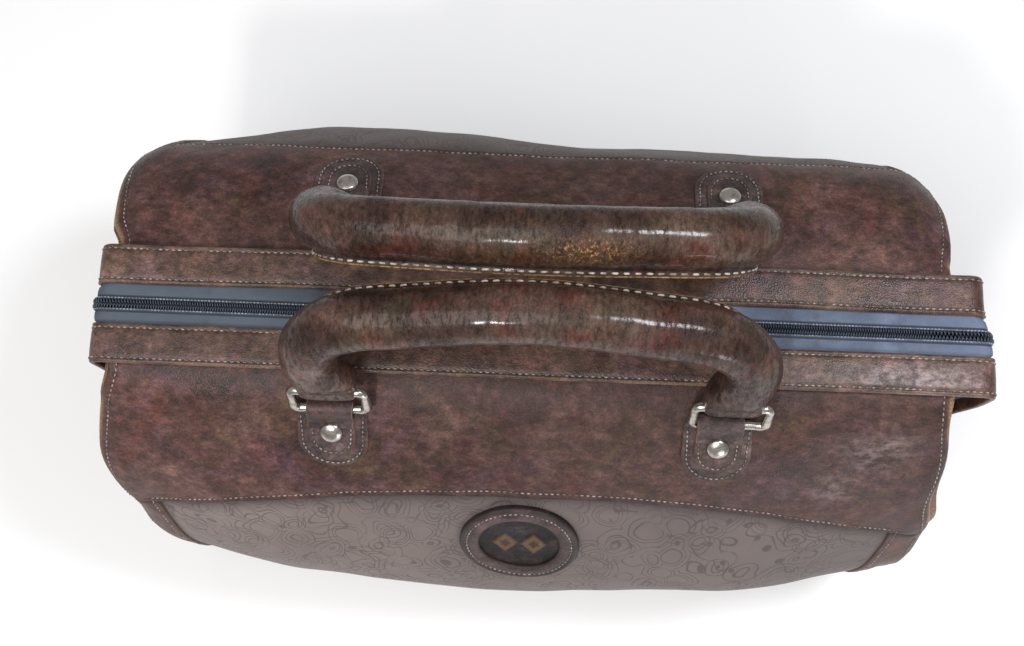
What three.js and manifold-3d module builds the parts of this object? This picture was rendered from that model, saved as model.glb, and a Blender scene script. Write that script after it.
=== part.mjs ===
// Soft leather travel bag with a top zip band, two rolled handles and canvas faces.
// Millimetres, +Z up. X runs along the zip, -Y is the front face, z = 0 is under the feet.
// The origin is the middle of the bag's footprint.
import * as THREE from "three";
import { mergeVertices } from "three/addons/utils/BufferGeometryUtils.js";
import Module from "manifold-3d";

const wasm = await Module();
wasm.setup();

// Driving dimensions
const zipHeight = 280; // top face of the zip band's tape
const skin = 2.4; // thickness of the leather and canvas panels
const seamGap = 0.4; // clearance between two panels that are sewn together
const halfLengthTop = 226; // body half length beside the zip band
const halfLength = 234; // body half length below the shoulder
const flareWidth = 22; // the half length grows over this distance from the zip band
const shoulderWidth = 30; // the bow and the rounded corners come in over this distance
const cornerRadius = 28; // the body's upright corners in plan
const cornerSag = 5; // how much lower the yoke lies at its two ends
const bandHalfLength = 238; // zip band, to its outer end face
const bandDrop = 118; // how far the band runs down each end
const stripInner = 11; // inner edge of a leather strip, from the middle of the zip
const stripOuter = 33; // outer edge of a leather strip
const stripThickness = 3.4;
const tapeThickness = 0.8;
const bendRadius = 9; // the band's bend at each end
const chapeSpacing = 211; // between the two chapes of one handle
const gripRadius = 14.5;
const gripRise = 86; // ring bar to the middle of the grip
const ringWire = 2.5; // half the ring's wire
const ringWidth = 44; // outside
const ringRise = 19; // between the ring's two bars
const badgeRadius = 34.5;
const rimWidth = 11;
const badgeBelow = 41; // middle of the round patch, below the yoke's seam
const footHeight = 5;
const footX = 165;
const footY = 72;

// Cross-section of the body, from the zip edge down to the bottom edge: [distance from the middle, z]
const frontOutline = [
  [12, 277.6],
  [33, 277.4],
  [48, 271.5],
  [64, 259],
  [80, 243],
  [94, 228.5],
  [108, 212],
  [121.5, 195],
  [133, 176.5],
  [140, 156],
  [142, 129],
  [139, 90],
  [132, 52],
  [122, 22],
  [113, 8.4],
];
const backOutline = [
  [12, 277.6],
  [33, 277.4],
  [50, 276],
  [68, 271.5],
  [86, 262.5],
  [100, 252],
  [112, 236],
  [121, 216],
  [129, 190],
  [134, 158],
  [137, 120],
  [136, 85],
  [130, 50],
  [121, 22],
  [113, 8.4],
];

// One side of the body: its outline as a curve, how far its ends bow back in plan, the girth of the yoke's seam at
// the middle with how much lower it lies at the ends, and the girth of the handle's rings
const front = makeSide(-1, frontOutline, { bow: 0.15, seamAt: 96, seamDip: 46, ringAt: 38 });
const back = makeSide(1, backOutline, { bow: 0.07, seamAt: 100, seamDip: 20, ringAt: 46 });

function makeSide(sign, outline, places) {
  const curve = new THREE.SplineCurve(outline.map(([y, z]) => new THREE.Vector2(y, z)));
  curve.arcLengthDivisions = 600;
  return { sign, curve, length: curve.getLength(), ...places };
}

const clamp = (value, low, high) => Math.min(Math.max(value, low), high);
const smooth = (value) => value * value * (3 - 2 * value);

// Half the body's length at a distance from the middle of the zip
function reach(y) {
  return halfLengthTop + (halfLength - halfLengthTop) * smooth(clamp((y - stripOuter) / flareWidth, 0, 1));
}

// A point of the body's outer face: across runs -1 to 1 along X, down is the girth from the zip edge
function bodyPoint(side, across, down) {
  const flat = side.curve.getPointAt(clamp(down / side.length, 0, 1));
  const edge = reach(flat.x);
  const x = across * edge;
  const intoCorner = clamp((Math.abs(x) - (edge - cornerRadius)) / cornerRadius, 0, 1) * 0.9;
  const cornerDrop = cornerRadius * (1 - Math.sqrt(1 - intoCorner * intoCorner));
  const shoulder = clamp((flat.x - stripOuter) / shoulderWidth, 0, 1);
  const bowed = (flat.x - stripOuter) * (1 - side.bow * Math.pow(Math.abs(across), 2.2) * shoulder);
  const y = flat.x <= stripOuter ? flat.x : stripOuter + bowed - cornerDrop * shoulder;
  const upper = smooth(clamp(flat.y / 120, 0, 1));
  const z = flat.y - cornerSag * Math.pow(across, 6) * shoulder * upper;
  return new THREE.Vector3(x, side.sign * y, z);
}

// The outward unit normal there
function bodyNormal(side, across, down) {
  const step = 0.01;
  const lean = across > 0.98 ? -step : step;
  const along = bodyPoint(side, across + lean, down).sub(bodyPoint(side, across, down));
  along.multiplyScalar(Math.sign(lean));
  const reachDown = clamp(down, 1.2, side.length - 1.2);
  const below = bodyPoint(side, across, reachDown + 1).sub(bodyPoint(side, across, reachDown - 1));
  return side.sign < 0 ? below.cross(along).normalize() : along.cross(below).normalize();
}

// A point held above (or, negative, under) the outer face
function overBody(side, across, down, above) {
  return bodyPoint(side, across, down).addScaledVector(bodyNormal(side, across, down), above);
}

// Girth of the yoke's lower seam, which dips towards the two ends
function yokeSeam(side, across) {
  return side.seamAt + side.seamDip * Math.pow(Math.abs(across), 2.2);
}

// Half width of the canvas at a girth, as a fraction of the body's half length
const canvasWide = 0.92;
const canvasTaper = 0.06;

function canvasEdge(side, down) {
  const fall = clamp((down - side.seamAt) / 120, 0, 1);
  return canvasWide - canvasTaper * fall;
}

// Closed solid from an outer and an inner grid of points that share their indices
function slab(columns, rows, outer, inner) {
  const points = [];
  const faces = [];
  const wide = columns + 1;
  for (const place of [outer, inner]) {
    for (let j = 0; j <= rows; j++) {
      for (let i = 0; i <= columns; i++) {
        points.push(place(i / columns, j / rows));
      }
    }
  }
  const shift = wide * (rows + 1);
  const quad = (a, b, c, d) => faces.push(a, b, c, a, c, d);
  for (let j = 0; j < rows; j++) {
    for (let i = 0; i < columns; i++) {
      const a = j * wide + i;
      quad(a, a + 1, a + wide + 1, a + wide);
      quad(a + shift, a + wide + shift, a + wide + 1 + shift, a + 1 + shift);
    }
  }
  const rim = [];
  for (let i = 0; i < columns; i++) rim.push(i);
  for (let j = 0; j < rows; j++) rim.push(j * wide + columns);
  for (let i = columns; i > 0; i--) rim.push(rows * wide + i);
  for (let j = rows; j > 0; j--) rim.push(j * wide);
  rim.forEach((a, n) => {
    const b = rim[(n + 1) % rim.length];
    quad(a, a + shift, b + shift, b);
  });
  return closed(points, faces);
}

// A geometry from points and triangles, turned so that its faces point outwards
function closed(points, faces) {
  const signed = (k) => {
    const [a, b, c] = [points[faces[k]], points[faces[k + 1]], points[faces[k + 2]]];
    return a.dot(b.clone().cross(c));
  };
  let volume = 0;
  for (let k = 0; k < faces.length; k += 3) volume += signed(k);
  if (volume < 0) {
    for (let k = 0; k < faces.length; k += 3) [faces[k + 1], faces[k + 2]] = [faces[k + 2], faces[k + 1]];
  }
  const geometry = new THREE.BufferGeometry();
  geometry.setAttribute("position", new THREE.Float32BufferAttribute(points.flatMap((p) => p.toArray()), 3));
  geometry.setIndex(faces);
  return geometry;
}

// Boolean work: a geometry as a solid, and back
function solid(geometry) {
  const bare = geometry.clone();
  bare.deleteAttribute("normal");
  bare.deleteAttribute("uv");
  const merged = mergeVertices(bare, 1e-4);
  return new wasm.Manifold(
    new wasm.Mesh({
      numProp: 3,
      vertProperties: merged.attributes.position.array,
      triVerts: new Uint32Array(merged.index.array),
    }),
  );
}

function geometryOf(manifold) {
  const mesh = manifold.getMesh();
  const geometry = new THREE.BufferGeometry();
  geometry.setAttribute("position", new THREE.Float32BufferAttribute(mesh.vertProperties, 3));
  geometry.setIndex(new THREE.BufferAttribute(mesh.triVerts, 1));
  return geometry;
}

function join(...geometries) {
  return geometryOf(geometries.map(solid).reduce((sum, next) => sum.add(next)));
}

function cut(geometry, ...tools) {
  return geometryOf(tools.map(solid).reduce((rest, tool) => rest.subtract(tool), solid(geometry)));
}

function box(xLow, xHigh, yLow, yHigh, zLow, zHigh) {
  const geometry = new THREE.BoxGeometry(xHigh - xLow, yHigh - yLow, zHigh - zLow);
  return geometry.translate((xLow + xHigh) / 2, (yLow + yHigh) / 2, (zLow + zHigh) / 2);
}

// Colours and finishes
const finish = (color, roughness, metalness) => ({ color, roughness, metalness });
const leather = finish(0x5e4540, 0.5, 0);
const darkLeather = finish(0x3e302c, 0.5, 0);
const stripLeather = finish(0x6b5650, 0.5, 0);
const canvas = finish(0x8a7e7b, 0.85, 0);
const tapeCloth = finish(0x5a6474, 0.8, 0);
const coilNylon = finish(0x3a4048, 0.5, 0);
const nickel = finish(0xb8b2ac, 0.3, 1);
const liningCloth = finish(0x6b5a48, 0.9, 0);
const fibreBoard = finish(0x4a3c30, 0.9, 0);
const ropeCord = finish(0xb5a88c, 0.9, 0);

const bag = new THREE.Group();

function add(name, geometry, look, parent = bag) {
  const mesh = new THREE.Mesh(geometry, new THREE.MeshStandardMaterial(look));
  mesh.name = name;
  parent.add(mesh);
  return mesh;
}

// A panel of the body's skin between two sides and two girths, each given as functions
function panel(side, leftOf, rightOf, topOf, bottomOf, columns, rows) {
  const place = (depth) => (i, j) => {
    const guess = topOf(0) + (bottomOf(0) - topOf(0)) * j;
    const across = leftOf(guess) + (rightOf(guess) - leftOf(guess)) * (0.5 - 0.5 * Math.cos(Math.PI * i));
    const down = topOf(across) + (bottomOf(across) - topOf(across)) * j;
    return overBody(side, across, down, -depth);
  };
  return slab(columns, rows, place(0), place(skin));
}

// Chapes: two leather tabs sewn on the yoke, one over the other, the lower one looped round the ring bar
const ringSeat = 6.5; // ring bar above the yoke
const loopOuter = 5.3;
const loopBore = 3.1;
const loopWidth = 29;
const rivetAt = 15; // rivet from the ring bar
const tabs = [
  { name: "outer_chape", from: 0, length: 41, halfWidth: 19, low: 0.4, high: 2.6 },
  { name: "inner_chape", from: 6.8, length: 25, halfWidth: 12.5, low: 2.9, high: 4.9 },
];

// A bar along X with its middle at a point
function barAlongX(radius, length, middle, sides = 12) {
  const bar = new THREE.CylinderGeometry(radius, radius, length, sides);
  return bar.rotateZ(Math.PI / 2).translate(middle.x, middle.y, middle.z);
}

function chapeTab(side, x, tab) {
  const place = (above) => (i, j) => {
    const down = side.ringAt + tab.from + tab.length * j;
    const narrowing = tab.halfWidth * (j < 0.55 ? 1 : Math.sqrt(1 - Math.pow((j - 0.55) / 0.53, 2)));
    const edge = reach(side.curve.getPointAt(down / side.length).x);
    return overBody(side, (x + narrowing * (2 * i - 1)) / edge, down, above);
  };
  return slab(4, 6, place(tab.high), place(tab.low));
}

// Turns a piece made along +Z so that it stands on the body at a point of its face
function standOn(geometry, side, x, down) {
  const edge = reach(side.curve.getPointAt(down / side.length).x);
  const turn = new THREE.Quaternion();
  turn.setFromUnitVectors(new THREE.Vector3(0, 0, 1), bodyNormal(side, x / edge, down));
  const at = bodyPoint(side, x / edge, down);
  return geometry.applyQuaternion(turn).translate(at.x, at.y, at.z);
}

const shankRadius = 2;
const shankHole = 2.35;
const rivetProfile = [
  [0, -4.9],
  [shankRadius, -4.9],
  [shankRadius, 5.2],
  [6, 5.2],
  [6, 6],
  [4.8, 7.6],
  [2.6, 8.6],
  [0, 8.9],
];
const washerProfile = [
  [shankHole, -4.7],
  [5.5, -4.7],
  [5.5, -3.7],
  [shankHole, -3.7],
  [shankHole, -4.7],
];

function lathe(profile, segments) {
  return new THREE.LatheGeometry(profile.map(([r, z]) => new THREE.Vector2(r, z)), segments)
    .rotateX(Math.PI / 2);
}

const shankHoles = new Map([[front, []], [back, []]]);

function addChapes(side, label) {
  for (const [end, x] of [["left", -chapeSpacing / 2], ["right", chapeSpacing / 2]]) {
    const rivetDown = side.ringAt + rivetAt;
    const hole = () => standOn(new THREE.CylinderGeometry(shankHole, shankHole, 24, 12)
      .rotateX(Math.PI / 2), side, x, rivetDown);
    shankHoles.get(side).push(hole());
    const seat = ringBar(side).setX(x);
    for (const tab of tabs) {
      let geometry = chapeTab(side, x, tab);
      if (tab.name === "outer_chape") {
        geometry = join(geometry, barAlongX(loopOuter, loopWidth, seat));
        geometry = cut(geometry, barAlongX(loopBore, loopWidth + 12, seat));
      }
      add(`${label}_${end}_${tab.name}`, cut(geometry, hole()), leather);
    }
    add(`${label}_${end}_rivet`, standOn(lathe(rivetProfile, 12), side, x, rivetDown), nickel);
    add(`${label}_${end}_rivet_washer`, standOn(lathe(washerProfile, 12), side, x, rivetDown), nickel);
  }
}

// Middle of the ring's lower bar, above the yoke
function ringBar(side) {
  const bar = overBody(side, 0, side.ringAt, ringSeat);
  return bar.setX(0);
}

// Body panels
function addBody(side, label) {
  const bottomAt = side.length;
  const whole = () => bottomAt;
  const nearSeam = seamGap / 2;
  const yoke = panel(side, () => -1, () => 1, () => 0,
    (across) => yokeSeam(side, across) - nearSeam, 16, 7);
  add(`${label}_yoke`, cut(yoke, ...shankHoles.get(side)), leather);
  add(`${label}_canvas_panel`, panel(side, (down) => -canvasEdge(side, down), (down) => canvasEdge(side, down),
    (across) => yokeSeam(side, across) + nearSeam, whole, 12, 8), canvas);
  const margin = seamGap / halfLength;
  add(`${label}_left_border`, panel(side, () => -1, (down) => -canvasEdge(side, down) - margin,
    (across) => yokeSeam(side, across) + nearSeam, whole, 4, 8), leather);
  add(`${label}_right_border`, panel(side, (down) => canvasEdge(side, down) + margin, () => 1,
    (across) => yokeSeam(side, across) + nearSeam, whole, 4, 8), leather);
}

// End panel: a skin set a little way in from the body's edge, ruled between the front and back faces
function addEndPanel(sign, label) {
  const inset = 4.5;
  const bulge = 4; // how far its middle stands out
  const clear = skin + 2;
  const rim = (side, j) => {
    const down = 2 + (side.length - 4.5) * j;
    const edge = reach(side.curve.getPointAt(down / side.length).x);
    const across = sign * (1 - inset / edge);
    return overBody(side, across, down, -clear);
  };
  const place = (depth) => (i, j) => {
    const point = rim(front, j).lerp(rim(back, j), i);
    const upright = smooth(clamp(3 * j, 0, 1)) * smooth(clamp(3 - 3 * j, 0, 1));
    point.x = sign * (Math.abs(point.x) + bulge * Math.sin(Math.PI * i) * upright - depth);
    return point;
  };
  add(`${label}_end_panel`, slab(6, 8, place(0), place(skin)), leather);
}

// Outline of the bottom edge in plan, pulled in by some distance
function bottomOutline(inset) {
  const shape = new THREE.Shape();
  const steps = 20;
  for (const [side, direction] of [[front, 1], [back, -1]]) {
    for (let i = 0; i <= steps; i++) {
      const across = direction * ((2 * i) / steps - 1);
      const point = bodyPoint(side, across, side.length);
      const x = point.x * (1 - inset / halfLength);
      const y = point.y - side.sign * inset;
      if (shape.curves.length || shape.currentPoint.lengthSq() > 0) shape.lineTo(x, y);
      else shape.moveTo(x, y);
    }
  }
  shape.closePath();
  return shape;
}

function plate(shape, low, high) {
  const settings = { depth: high - low, bevelEnabled: false, curveSegments: 10 };
  return new THREE.ExtrudeGeometry(shape, settings).translate(0, 0, low);
}

function addBottom() {
  add("bottom_panel", plate(bottomOutline(0), footHeight, 8), darkLeather);
  add("bottom_board", plate(bottomOutline(12), 8.6, 11), fibreBoard);
  const footProfile = [
    [0, 0],
    [6, 0],
    [7.5, 1.5],
    [7.5, footHeight - 0.3],
    [0, footHeight - 0.3],
  ];
  for (const [face, y] of [["front", -footY], ["back", footY]]) {
    for (const [end, x] of [["left", -footX], ["right", footX]]) {
      add(`${face}_${end}_foot`, lathe(footProfile, 12).translate(x, y, 0), nickel);
    }
  }
}

// Lining: a thin bag open along the zip, its wall inside the body panels and over the bottom board
function addLining() {
  const halfColumns = 8;
  const levels = 7;
  const outerInset = 6;
  const innerInset = 7.2;
  const mouth = 10; // girth at which the lining starts
  const endInset = 0.055; // from the body's ends, as a fraction of the half length
  const loop = (inset) => {
    const rings = [];
    for (let j = 0; j <= levels; j++) {
      const ring = [];
      for (const [side, direction] of [[front, 1], [back, -1]]) {
        const down = mouth + (side.length - mouth - inset) * (j / levels);
        for (let i = 0; i <= halfColumns; i++) {
          const widest = 1 - endInset - (inset - outerInset) / halfLength;
          const across = direction * ((2 * i) / halfColumns - 1) * widest;
          ring.push(overBody(side, across, down, -inset));
        }
      }
      rings.push(ring);
    }
    return rings;
  };
  const outer = loop(outerInset);
  const inner = loop(innerInset);
  const around = outer[0].length;
  const points = [...outer, ...inner].flat();
  const shift = around * (levels + 1);
  const faces = [];
  const quad = (a, b, c, d) => faces.push(a, b, c, a, c, d);
  for (let j = 0; j < levels; j++) {
    for (let i = 0; i < around; i++) {
      const a = j * around + i;
      const b = j * around + ((i + 1) % around);
      quad(a, a + around, b + around, b);
      quad(a + shift, b + shift, b + around + shift, a + around + shift);
    }
  }
  for (let i = 0; i < around; i++) {
    const next = (i + 1) % around;
    quad(i, next, next + shift, i + shift);
  }
  const floor = levels * around;
  for (let i = 0; i < halfColumns; i++) {
    const [a, b, c, d] = [floor + i, floor + i + 1, floor + around - 2 - i, floor + around - 1 - i];
    quad(a, d, c, b);
    quad(a + shift, b + shift, c + shift, d + shift);
  }
  add("lining", closed(points, faces), liningCloth);
}

// The zip band: an outline over the top and down both ends, seen from the front, given a width in Y
function bandOutline(topFace, thickness, end, drop) {
  const shape = new THREE.Shape();
  const inner = end - thickness;
  const outerBend = bendRadius;
  const innerBend = bendRadius - thickness;
  const foot = topFace - drop;
  shape.moveTo(-end, foot);
  shape.lineTo(-end, topFace - outerBend);
  shape.absarc(-end + outerBend, topFace - outerBend, outerBend, Math.PI, Math.PI / 2, true);
  shape.lineTo(end - outerBend, topFace);
  shape.absarc(end - outerBend, topFace - outerBend, outerBend, Math.PI / 2, 0, true);
  shape.lineTo(end, foot);
  shape.lineTo(inner, foot);
  shape.lineTo(inner, topFace - outerBend);
  shape.absarc(end - outerBend, topFace - outerBend, innerBend, 0, Math.PI / 2, false);
  shape.lineTo(-end + outerBend, topFace - thickness);
  shape.absarc(-end + outerBend, topFace - outerBend, innerBend, Math.PI / 2, Math.PI, false);
  shape.lineTo(-inner, foot);
  shape.closePath();
  return shape;
}

function band(topFace, thickness, end, drop, yLow, yHigh) {
  const settings = { depth: yHigh - yLow, bevelEnabled: false, curveSegments: 3 };
  const geometry = new THREE.ExtrudeGeometry(bandOutline(topFace, thickness, end, drop), settings);
  return geometry.rotateX(Math.PI / 2).translate(0, yHigh, 0);
}

const stripTop = zipHeight + 2.6;
const tapeTop = stripTop - stripThickness - 0.3;
const tapeEnd = bandHalfLength - stripThickness - 0.3;
const tapeOuter = 26; // the tape's sewn edge, under the strip
const coilThickness = 2.6;
const coilRise = 1.9; // coil above the tape
const coilInner = 0.9;
const coilOuter = 3;

function addZipBand() {
  for (const [sign, label] of [[-1, "front"], [1, "back"]]) {
    const across = (a, b) => (sign < 0 ? [-b, -a] : [a, b]);
    add(`${label}_zip_strip`, band(stripTop, stripThickness, bandHalfLength, bandDrop,
      ...across(stripInner, stripOuter)), stripLeather);
    add(`${label}_zip_tape`, band(tapeTop, tapeThickness, tapeEnd, bandDrop - 5,
      ...across(coilOuter + 0.3, tapeOuter)), tapeCloth);
    add(`${label}_zip_coil`, band(tapeTop + coilRise, coilThickness, tapeEnd + coilRise, bandDrop - 4,
      ...across(coilInner, coilOuter)), coilNylon);
  }
  for (const [sign, label] of [[-1, "left"], [1, "right"]]) {
    const foot = stripTop - bandDrop;
    const xs = [bandHalfLength + 0.4, bandHalfLength + 2.6].map((x) => sign * x).sort((a, b) => a - b);
    add(`${label}_zip_end_tab`, box(...xs, -stripOuter, stripOuter, foot - 6, foot + 20), leather);
  }
}

// Slider: two plates joined by a neck, with a bridge that holds the pull tab. Its head faces the middle.
const sliderX = 13;
const sliderLength = 15;
const sliderHalfWidth = 5.2;
const coilTop = tapeTop + coilRise;
const coilBottom = coilTop - coilThickness;
const sliderTop = coilTop + 1.6;
const pullPivot = sliderTop + 1.9;

function addSlider(sign, label) {
  const half = sliderLength / 2;
  const headX = -sign * (half - 1.5);
  const upper = box(-half, half, -sliderHalfWidth, sliderHalfWidth, coilTop + 0.4, sliderTop);
  const lower = box(-half, half, -sliderHalfWidth, sliderHalfWidth, coilBottom - 1.6, coilBottom - 0.4);
  const neck = box(headX - 1.5, headX + 1.5, -0.5, 0.5, coilBottom - 1, coilTop + 1);
  const bridge = box(-2.7, 2.7, -1.3, 1.3, sliderTop - 0.2, pullPivot + 2.6);
  const bridgeHole = box(-1.6, 1.6, -3, 3, sliderTop + 0.2, pullPivot + 1.6);
  const body = cut(join(upper, lower, neck, bridge), bridgeHole);
  add(`${label}_slider`, body.translate(sign * sliderX, 0, 0), nickel);

  const pull = new THREE.Shape();
  pull.moveTo(-1, -4.2);
  pull.lineTo(24, -4.8);
  pull.absarc(24, 0, 4.8, -Math.PI / 2, Math.PI / 2, false);
  pull.lineTo(-1, 4.2);
  pull.closePath();
  const window = new THREE.Path();
  window.moveTo(0.8, -1.7);
  window.lineTo(6.4, -1.7);
  window.lineTo(6.4, 1.7);
  window.lineTo(0.8, 1.7);
  window.closePath();
  pull.holes.push(window);
  const tab = plate(pull, -0.75, 0.75);
  if (sign < 0) tab.rotateZ(Math.PI);
  add(`${label}_pull_tab`, tab.translate(sign * sliderX, 0, pullPivot), nickel);
}

// Rings and rolled handles stand in a plane that leans inwards until the two grips all but touch
function handleFrame(side) {
  const bar = ringBar(side);
  const reachIn = gripRadius + finDepth;
  const total = ringRise + gripRise;
  let lean = 0.3;
  for (let n = 0; n < 20; n++) {
    const tip = reachIn * Math.cos(lean) + finHalf * Math.sin(lean);
    lean = Math.asin((Math.abs(bar.y) - finClearance - tip) / total);
  }
  const group = new THREE.Group();
  group.position.copy(bar);
  group.rotation.x = side.sign * lean;
  bag.add(group);
  return group;
}

const finDepth = 4.6;
const finHalf = 2;
const finClearance = 0.4; // from each fin to the middle plane of the bag

// A ring in its own plane: X across, Z up from the lower bar
function ringGeometry() {
  const rounded = (width, low, high, radius, shape) => {
    const half = width / 2;
    shape.moveTo(-half + radius, low);
    shape.lineTo(half - radius, low);
    shape.absarc(half - radius, low + radius, radius, -Math.PI / 2, 0, false);
    shape.lineTo(half, high - radius);
    shape.absarc(half - radius, high - radius, radius, 0, Math.PI / 2, false);
    shape.lineTo(-half + radius, high);
    shape.absarc(-half + radius, high - radius, radius, Math.PI / 2, Math.PI, false);
    shape.lineTo(-half, low + radius);
    shape.absarc(-half + radius, low + radius, radius, Math.PI, 1.5 * Math.PI, false);
    return shape;
  };
  const chamfer = 1.35;
  const shape = rounded(ringWidth - 2 * chamfer, -ringWire + chamfer, ringRise + ringWire - chamfer, 5,
    new THREE.Shape());
  const eye = rounded(ringWidth - 4 * ringWire + 2 * chamfer, ringWire - chamfer,
    ringRise - ringWire + chamfer, 3.2, new THREE.Path());
  shape.holes.push(eye);
  const settings = {
    depth: 2 * (ringWire - chamfer),
    bevelEnabled: true,
    bevelSize: chamfer,
    bevelThickness: chamfer,
    bevelSegments: 1,
    curveSegments: 2,
  };
  const ring = new THREE.ExtrudeGeometry(shape, settings).translate(0, 0, -(ringWire - chamfer));
  return ring.rotateX(Math.PI / 2);
}

// The grip's middle line, in the handle's plane, measured from the ring's lower bar
function gripCurve(start) {
  const half = chapeSpacing / 2;
  const base = ringRise + 20;
  const top = ringRise + gripRise;
  const route = [
    [-half - 0.5 - start / 4, base + start],
    [-half - 4, base + 15],
    [-half - 1, base + 33],
    [-half + 14, base + 50],
    [-half + 50, top - 7],
    [0, top],
  ];
  const mirrored = route.slice(0, -1).map(([x, z]) => [-x, z]).reverse();
  const points = [...route, ...mirrored].map(([x, z]) => new THREE.Vector3(x, 0, z));
  return new THREE.CatmullRomCurve3(points, false, "centripetal");
}

const coverWall = 2.2;

// Section of the rolled cover: a round tube, slit where its two edges meet in the stitched fin
function coverSection() {
  const slit = 0.2;
  const inner = gripRadius - coverWall;
  const section = new THREE.Shape();
  const outerStart = Math.asin(finHalf / gripRadius);
  const innerStart = Math.asin(slit / inner);
  section.moveTo(gripRadius + finDepth, slit);
  section.lineTo(gripRadius + finDepth, finHalf);
  section.lineTo(gripRadius * Math.cos(outerStart), finHalf);
  section.absarc(0, 0, gripRadius, outerStart, 2 * Math.PI - outerStart, false);
  section.lineTo(gripRadius + finDepth, -finHalf);
  section.lineTo(gripRadius + finDepth, -slit);
  section.lineTo(inner * Math.cos(innerStart), -slit);
  section.absarc(0, 0, inner, 2 * Math.PI - innerStart, innerStart, true);
  section.closePath();
  return section;
}

// Turns the handle's own plane so that the fin, made on the section's +X side, faces the other handle
function addHandle(side, label) {
  const frame = handleFrame(side);
  for (const [end, x] of [["left", -chapeSpacing / 2], ["right", chapeSpacing / 2]]) {
    add(`${label}_${end}_ring`, ringGeometry().translate(x, 0, 0), nickel, frame);
  }
  const curve = gripCurve(0);
  const cover = new THREE.ExtrudeGeometry(turned(coverSection(), side.sign), {
    steps: 20,
    curveSegments: 6,
    extrudePath: curve,
  });
  const coreShape = new THREE.Shape();
  coreShape.absarc(0, 0, gripRadius - coverWall - 1.8, 0, 2 * Math.PI, false);
  const core = new THREE.ExtrudeGeometry(coreShape, { steps: 16, curveSegments: 5, extrudePath: gripCurve(8) });
  const ends = [-1, 1].map((end) => handleEnd((end * chapeSpacing) / 2));
  const bores = [-1, 1].map((end) => {
    return barAlongX(loopBore, loopWidth + 6, new THREE.Vector3((end * chapeSpacing) / 2, 0, ringRise));
  });
  add(`${label}_grip`, cut(join(cover, ...ends), ...bores), darkLeather, frame);
  add(`${label}_grip_core`, core, ropeCord, frame);
}

// The section turned so that its +X side lies towards the other handle
function turned(shape, sign) {
  const outline = shape.getPoints(6).map((p) => new THREE.Vector2(sign * p.x, sign * p.y));
  return new THREE.Shape(outline);
}

// The flattened end of the cover, looped round the ring's upper bar
function handleEnd(x) {
  const low = ringRise + 4;
  const high = ringRise + 22;
  const outline = new THREE.Shape();
  outline.moveTo(-15, low);
  outline.lineTo(15, low);
  outline.lineTo(13.5, high);
  outline.lineTo(-13.5, high);
  outline.closePath();
  const neck = new THREE.ExtrudeGeometry(outline, { depth: 9, bevelEnabled: false });
  neck.translate(x, 0, -4.5).rotateX(Math.PI / 2);
  const loop = barAlongX(loopOuter, loopWidth - 3, new THREE.Vector3(x, 0, ringRise));
  return join(neck, loop);
}

// Round patch on the front canvas: a disc and a raised rim that follow the face
function badgeRing(innerRadius, outerRadius, low, high) {
  const middle = front.seamAt + badgeBelow;
  const turns = 20;
  const place = (radius, turn, above) => {
    const angle = (2 * Math.PI * turn) / turns;
    const down = middle - radius * Math.cos(angle);
    const edge = reach(front.curve.getPointAt(down / front.length).x);
    return overBody(front, (radius * Math.sin(angle)) / edge, down, above);
  };
  const points = [];
  const faces = [];
  const radii = innerRadius > 0 ? [innerRadius, outerRadius] : [outerRadius / 2, outerRadius];
  for (const above of [high, low]) {
    for (const radius of radii) {
      for (let n = 0; n < turns; n++) points.push(place(radius, n, above));
    }
  }
  const quad = (a, b, c, d) => faces.push(a, b, c, a, c, d);
  for (let n = 0; n < turns; n++) {
    const m = (n + 1) % turns;
    quad(n, m, m + turns, n + turns);
    quad(n + 2 * turns, n + 3 * turns, m + 3 * turns, m + 2 * turns);
    quad(n + turns, m + turns, m + 3 * turns, n + 3 * turns);
    if (innerRadius > 0) quad(n, n + 2 * turns, m + 2 * turns, m);
  }
  if (innerRadius === 0) {
    for (const [start, above, flip] of [[0, high, 0], [2 * turns, low, 1]]) {
      points.push(place(0, 0, above));
      const hub = points.length - 1;
      for (let n = 0; n < turns; n++) {
        const pair = [start + n, start + ((n + 1) % turns)];
        if (flip) pair.reverse();
        faces.push(hub, pair[1], pair[0]);
      }
    }
  }
  return closed(points, faces);
}

addChapes(front, "front");
addChapes(back, "back");
addBody(front, "front");
addBody(back, "back");
addEndPanel(-1, "left");
addEndPanel(1, "right");
addBottom();
addLining();
addZipBand();
addSlider(-1, "left");
addSlider(1, "right");
addHandle(front, "front");
addHandle(back, "back");
add("badge_disc", badgeRing(0, badgeRadius, 0.4, 2.2), darkLeather);
add("badge_rim", badgeRing(badgeRadius - rimWidth, badgeRadius, 2.5, 4), leather);

export default bag;
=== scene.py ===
# Soft flight bag with a top zip band, two rolled handles on rings and canvas faces.
import math

import bpy
import numpy as np
from mathutils import Matrix


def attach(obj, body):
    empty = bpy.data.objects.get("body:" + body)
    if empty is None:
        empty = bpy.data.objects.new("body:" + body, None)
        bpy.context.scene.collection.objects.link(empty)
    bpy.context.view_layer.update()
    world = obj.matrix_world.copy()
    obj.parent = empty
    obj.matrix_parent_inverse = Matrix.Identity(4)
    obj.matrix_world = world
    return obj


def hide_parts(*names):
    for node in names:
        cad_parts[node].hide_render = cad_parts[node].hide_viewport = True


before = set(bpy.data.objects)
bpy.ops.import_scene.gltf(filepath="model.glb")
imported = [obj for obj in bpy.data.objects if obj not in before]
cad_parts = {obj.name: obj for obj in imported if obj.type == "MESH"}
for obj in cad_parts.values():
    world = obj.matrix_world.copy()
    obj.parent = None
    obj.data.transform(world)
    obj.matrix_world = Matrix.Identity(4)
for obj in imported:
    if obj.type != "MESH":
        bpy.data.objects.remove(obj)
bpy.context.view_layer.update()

mm = 0.001

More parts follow.
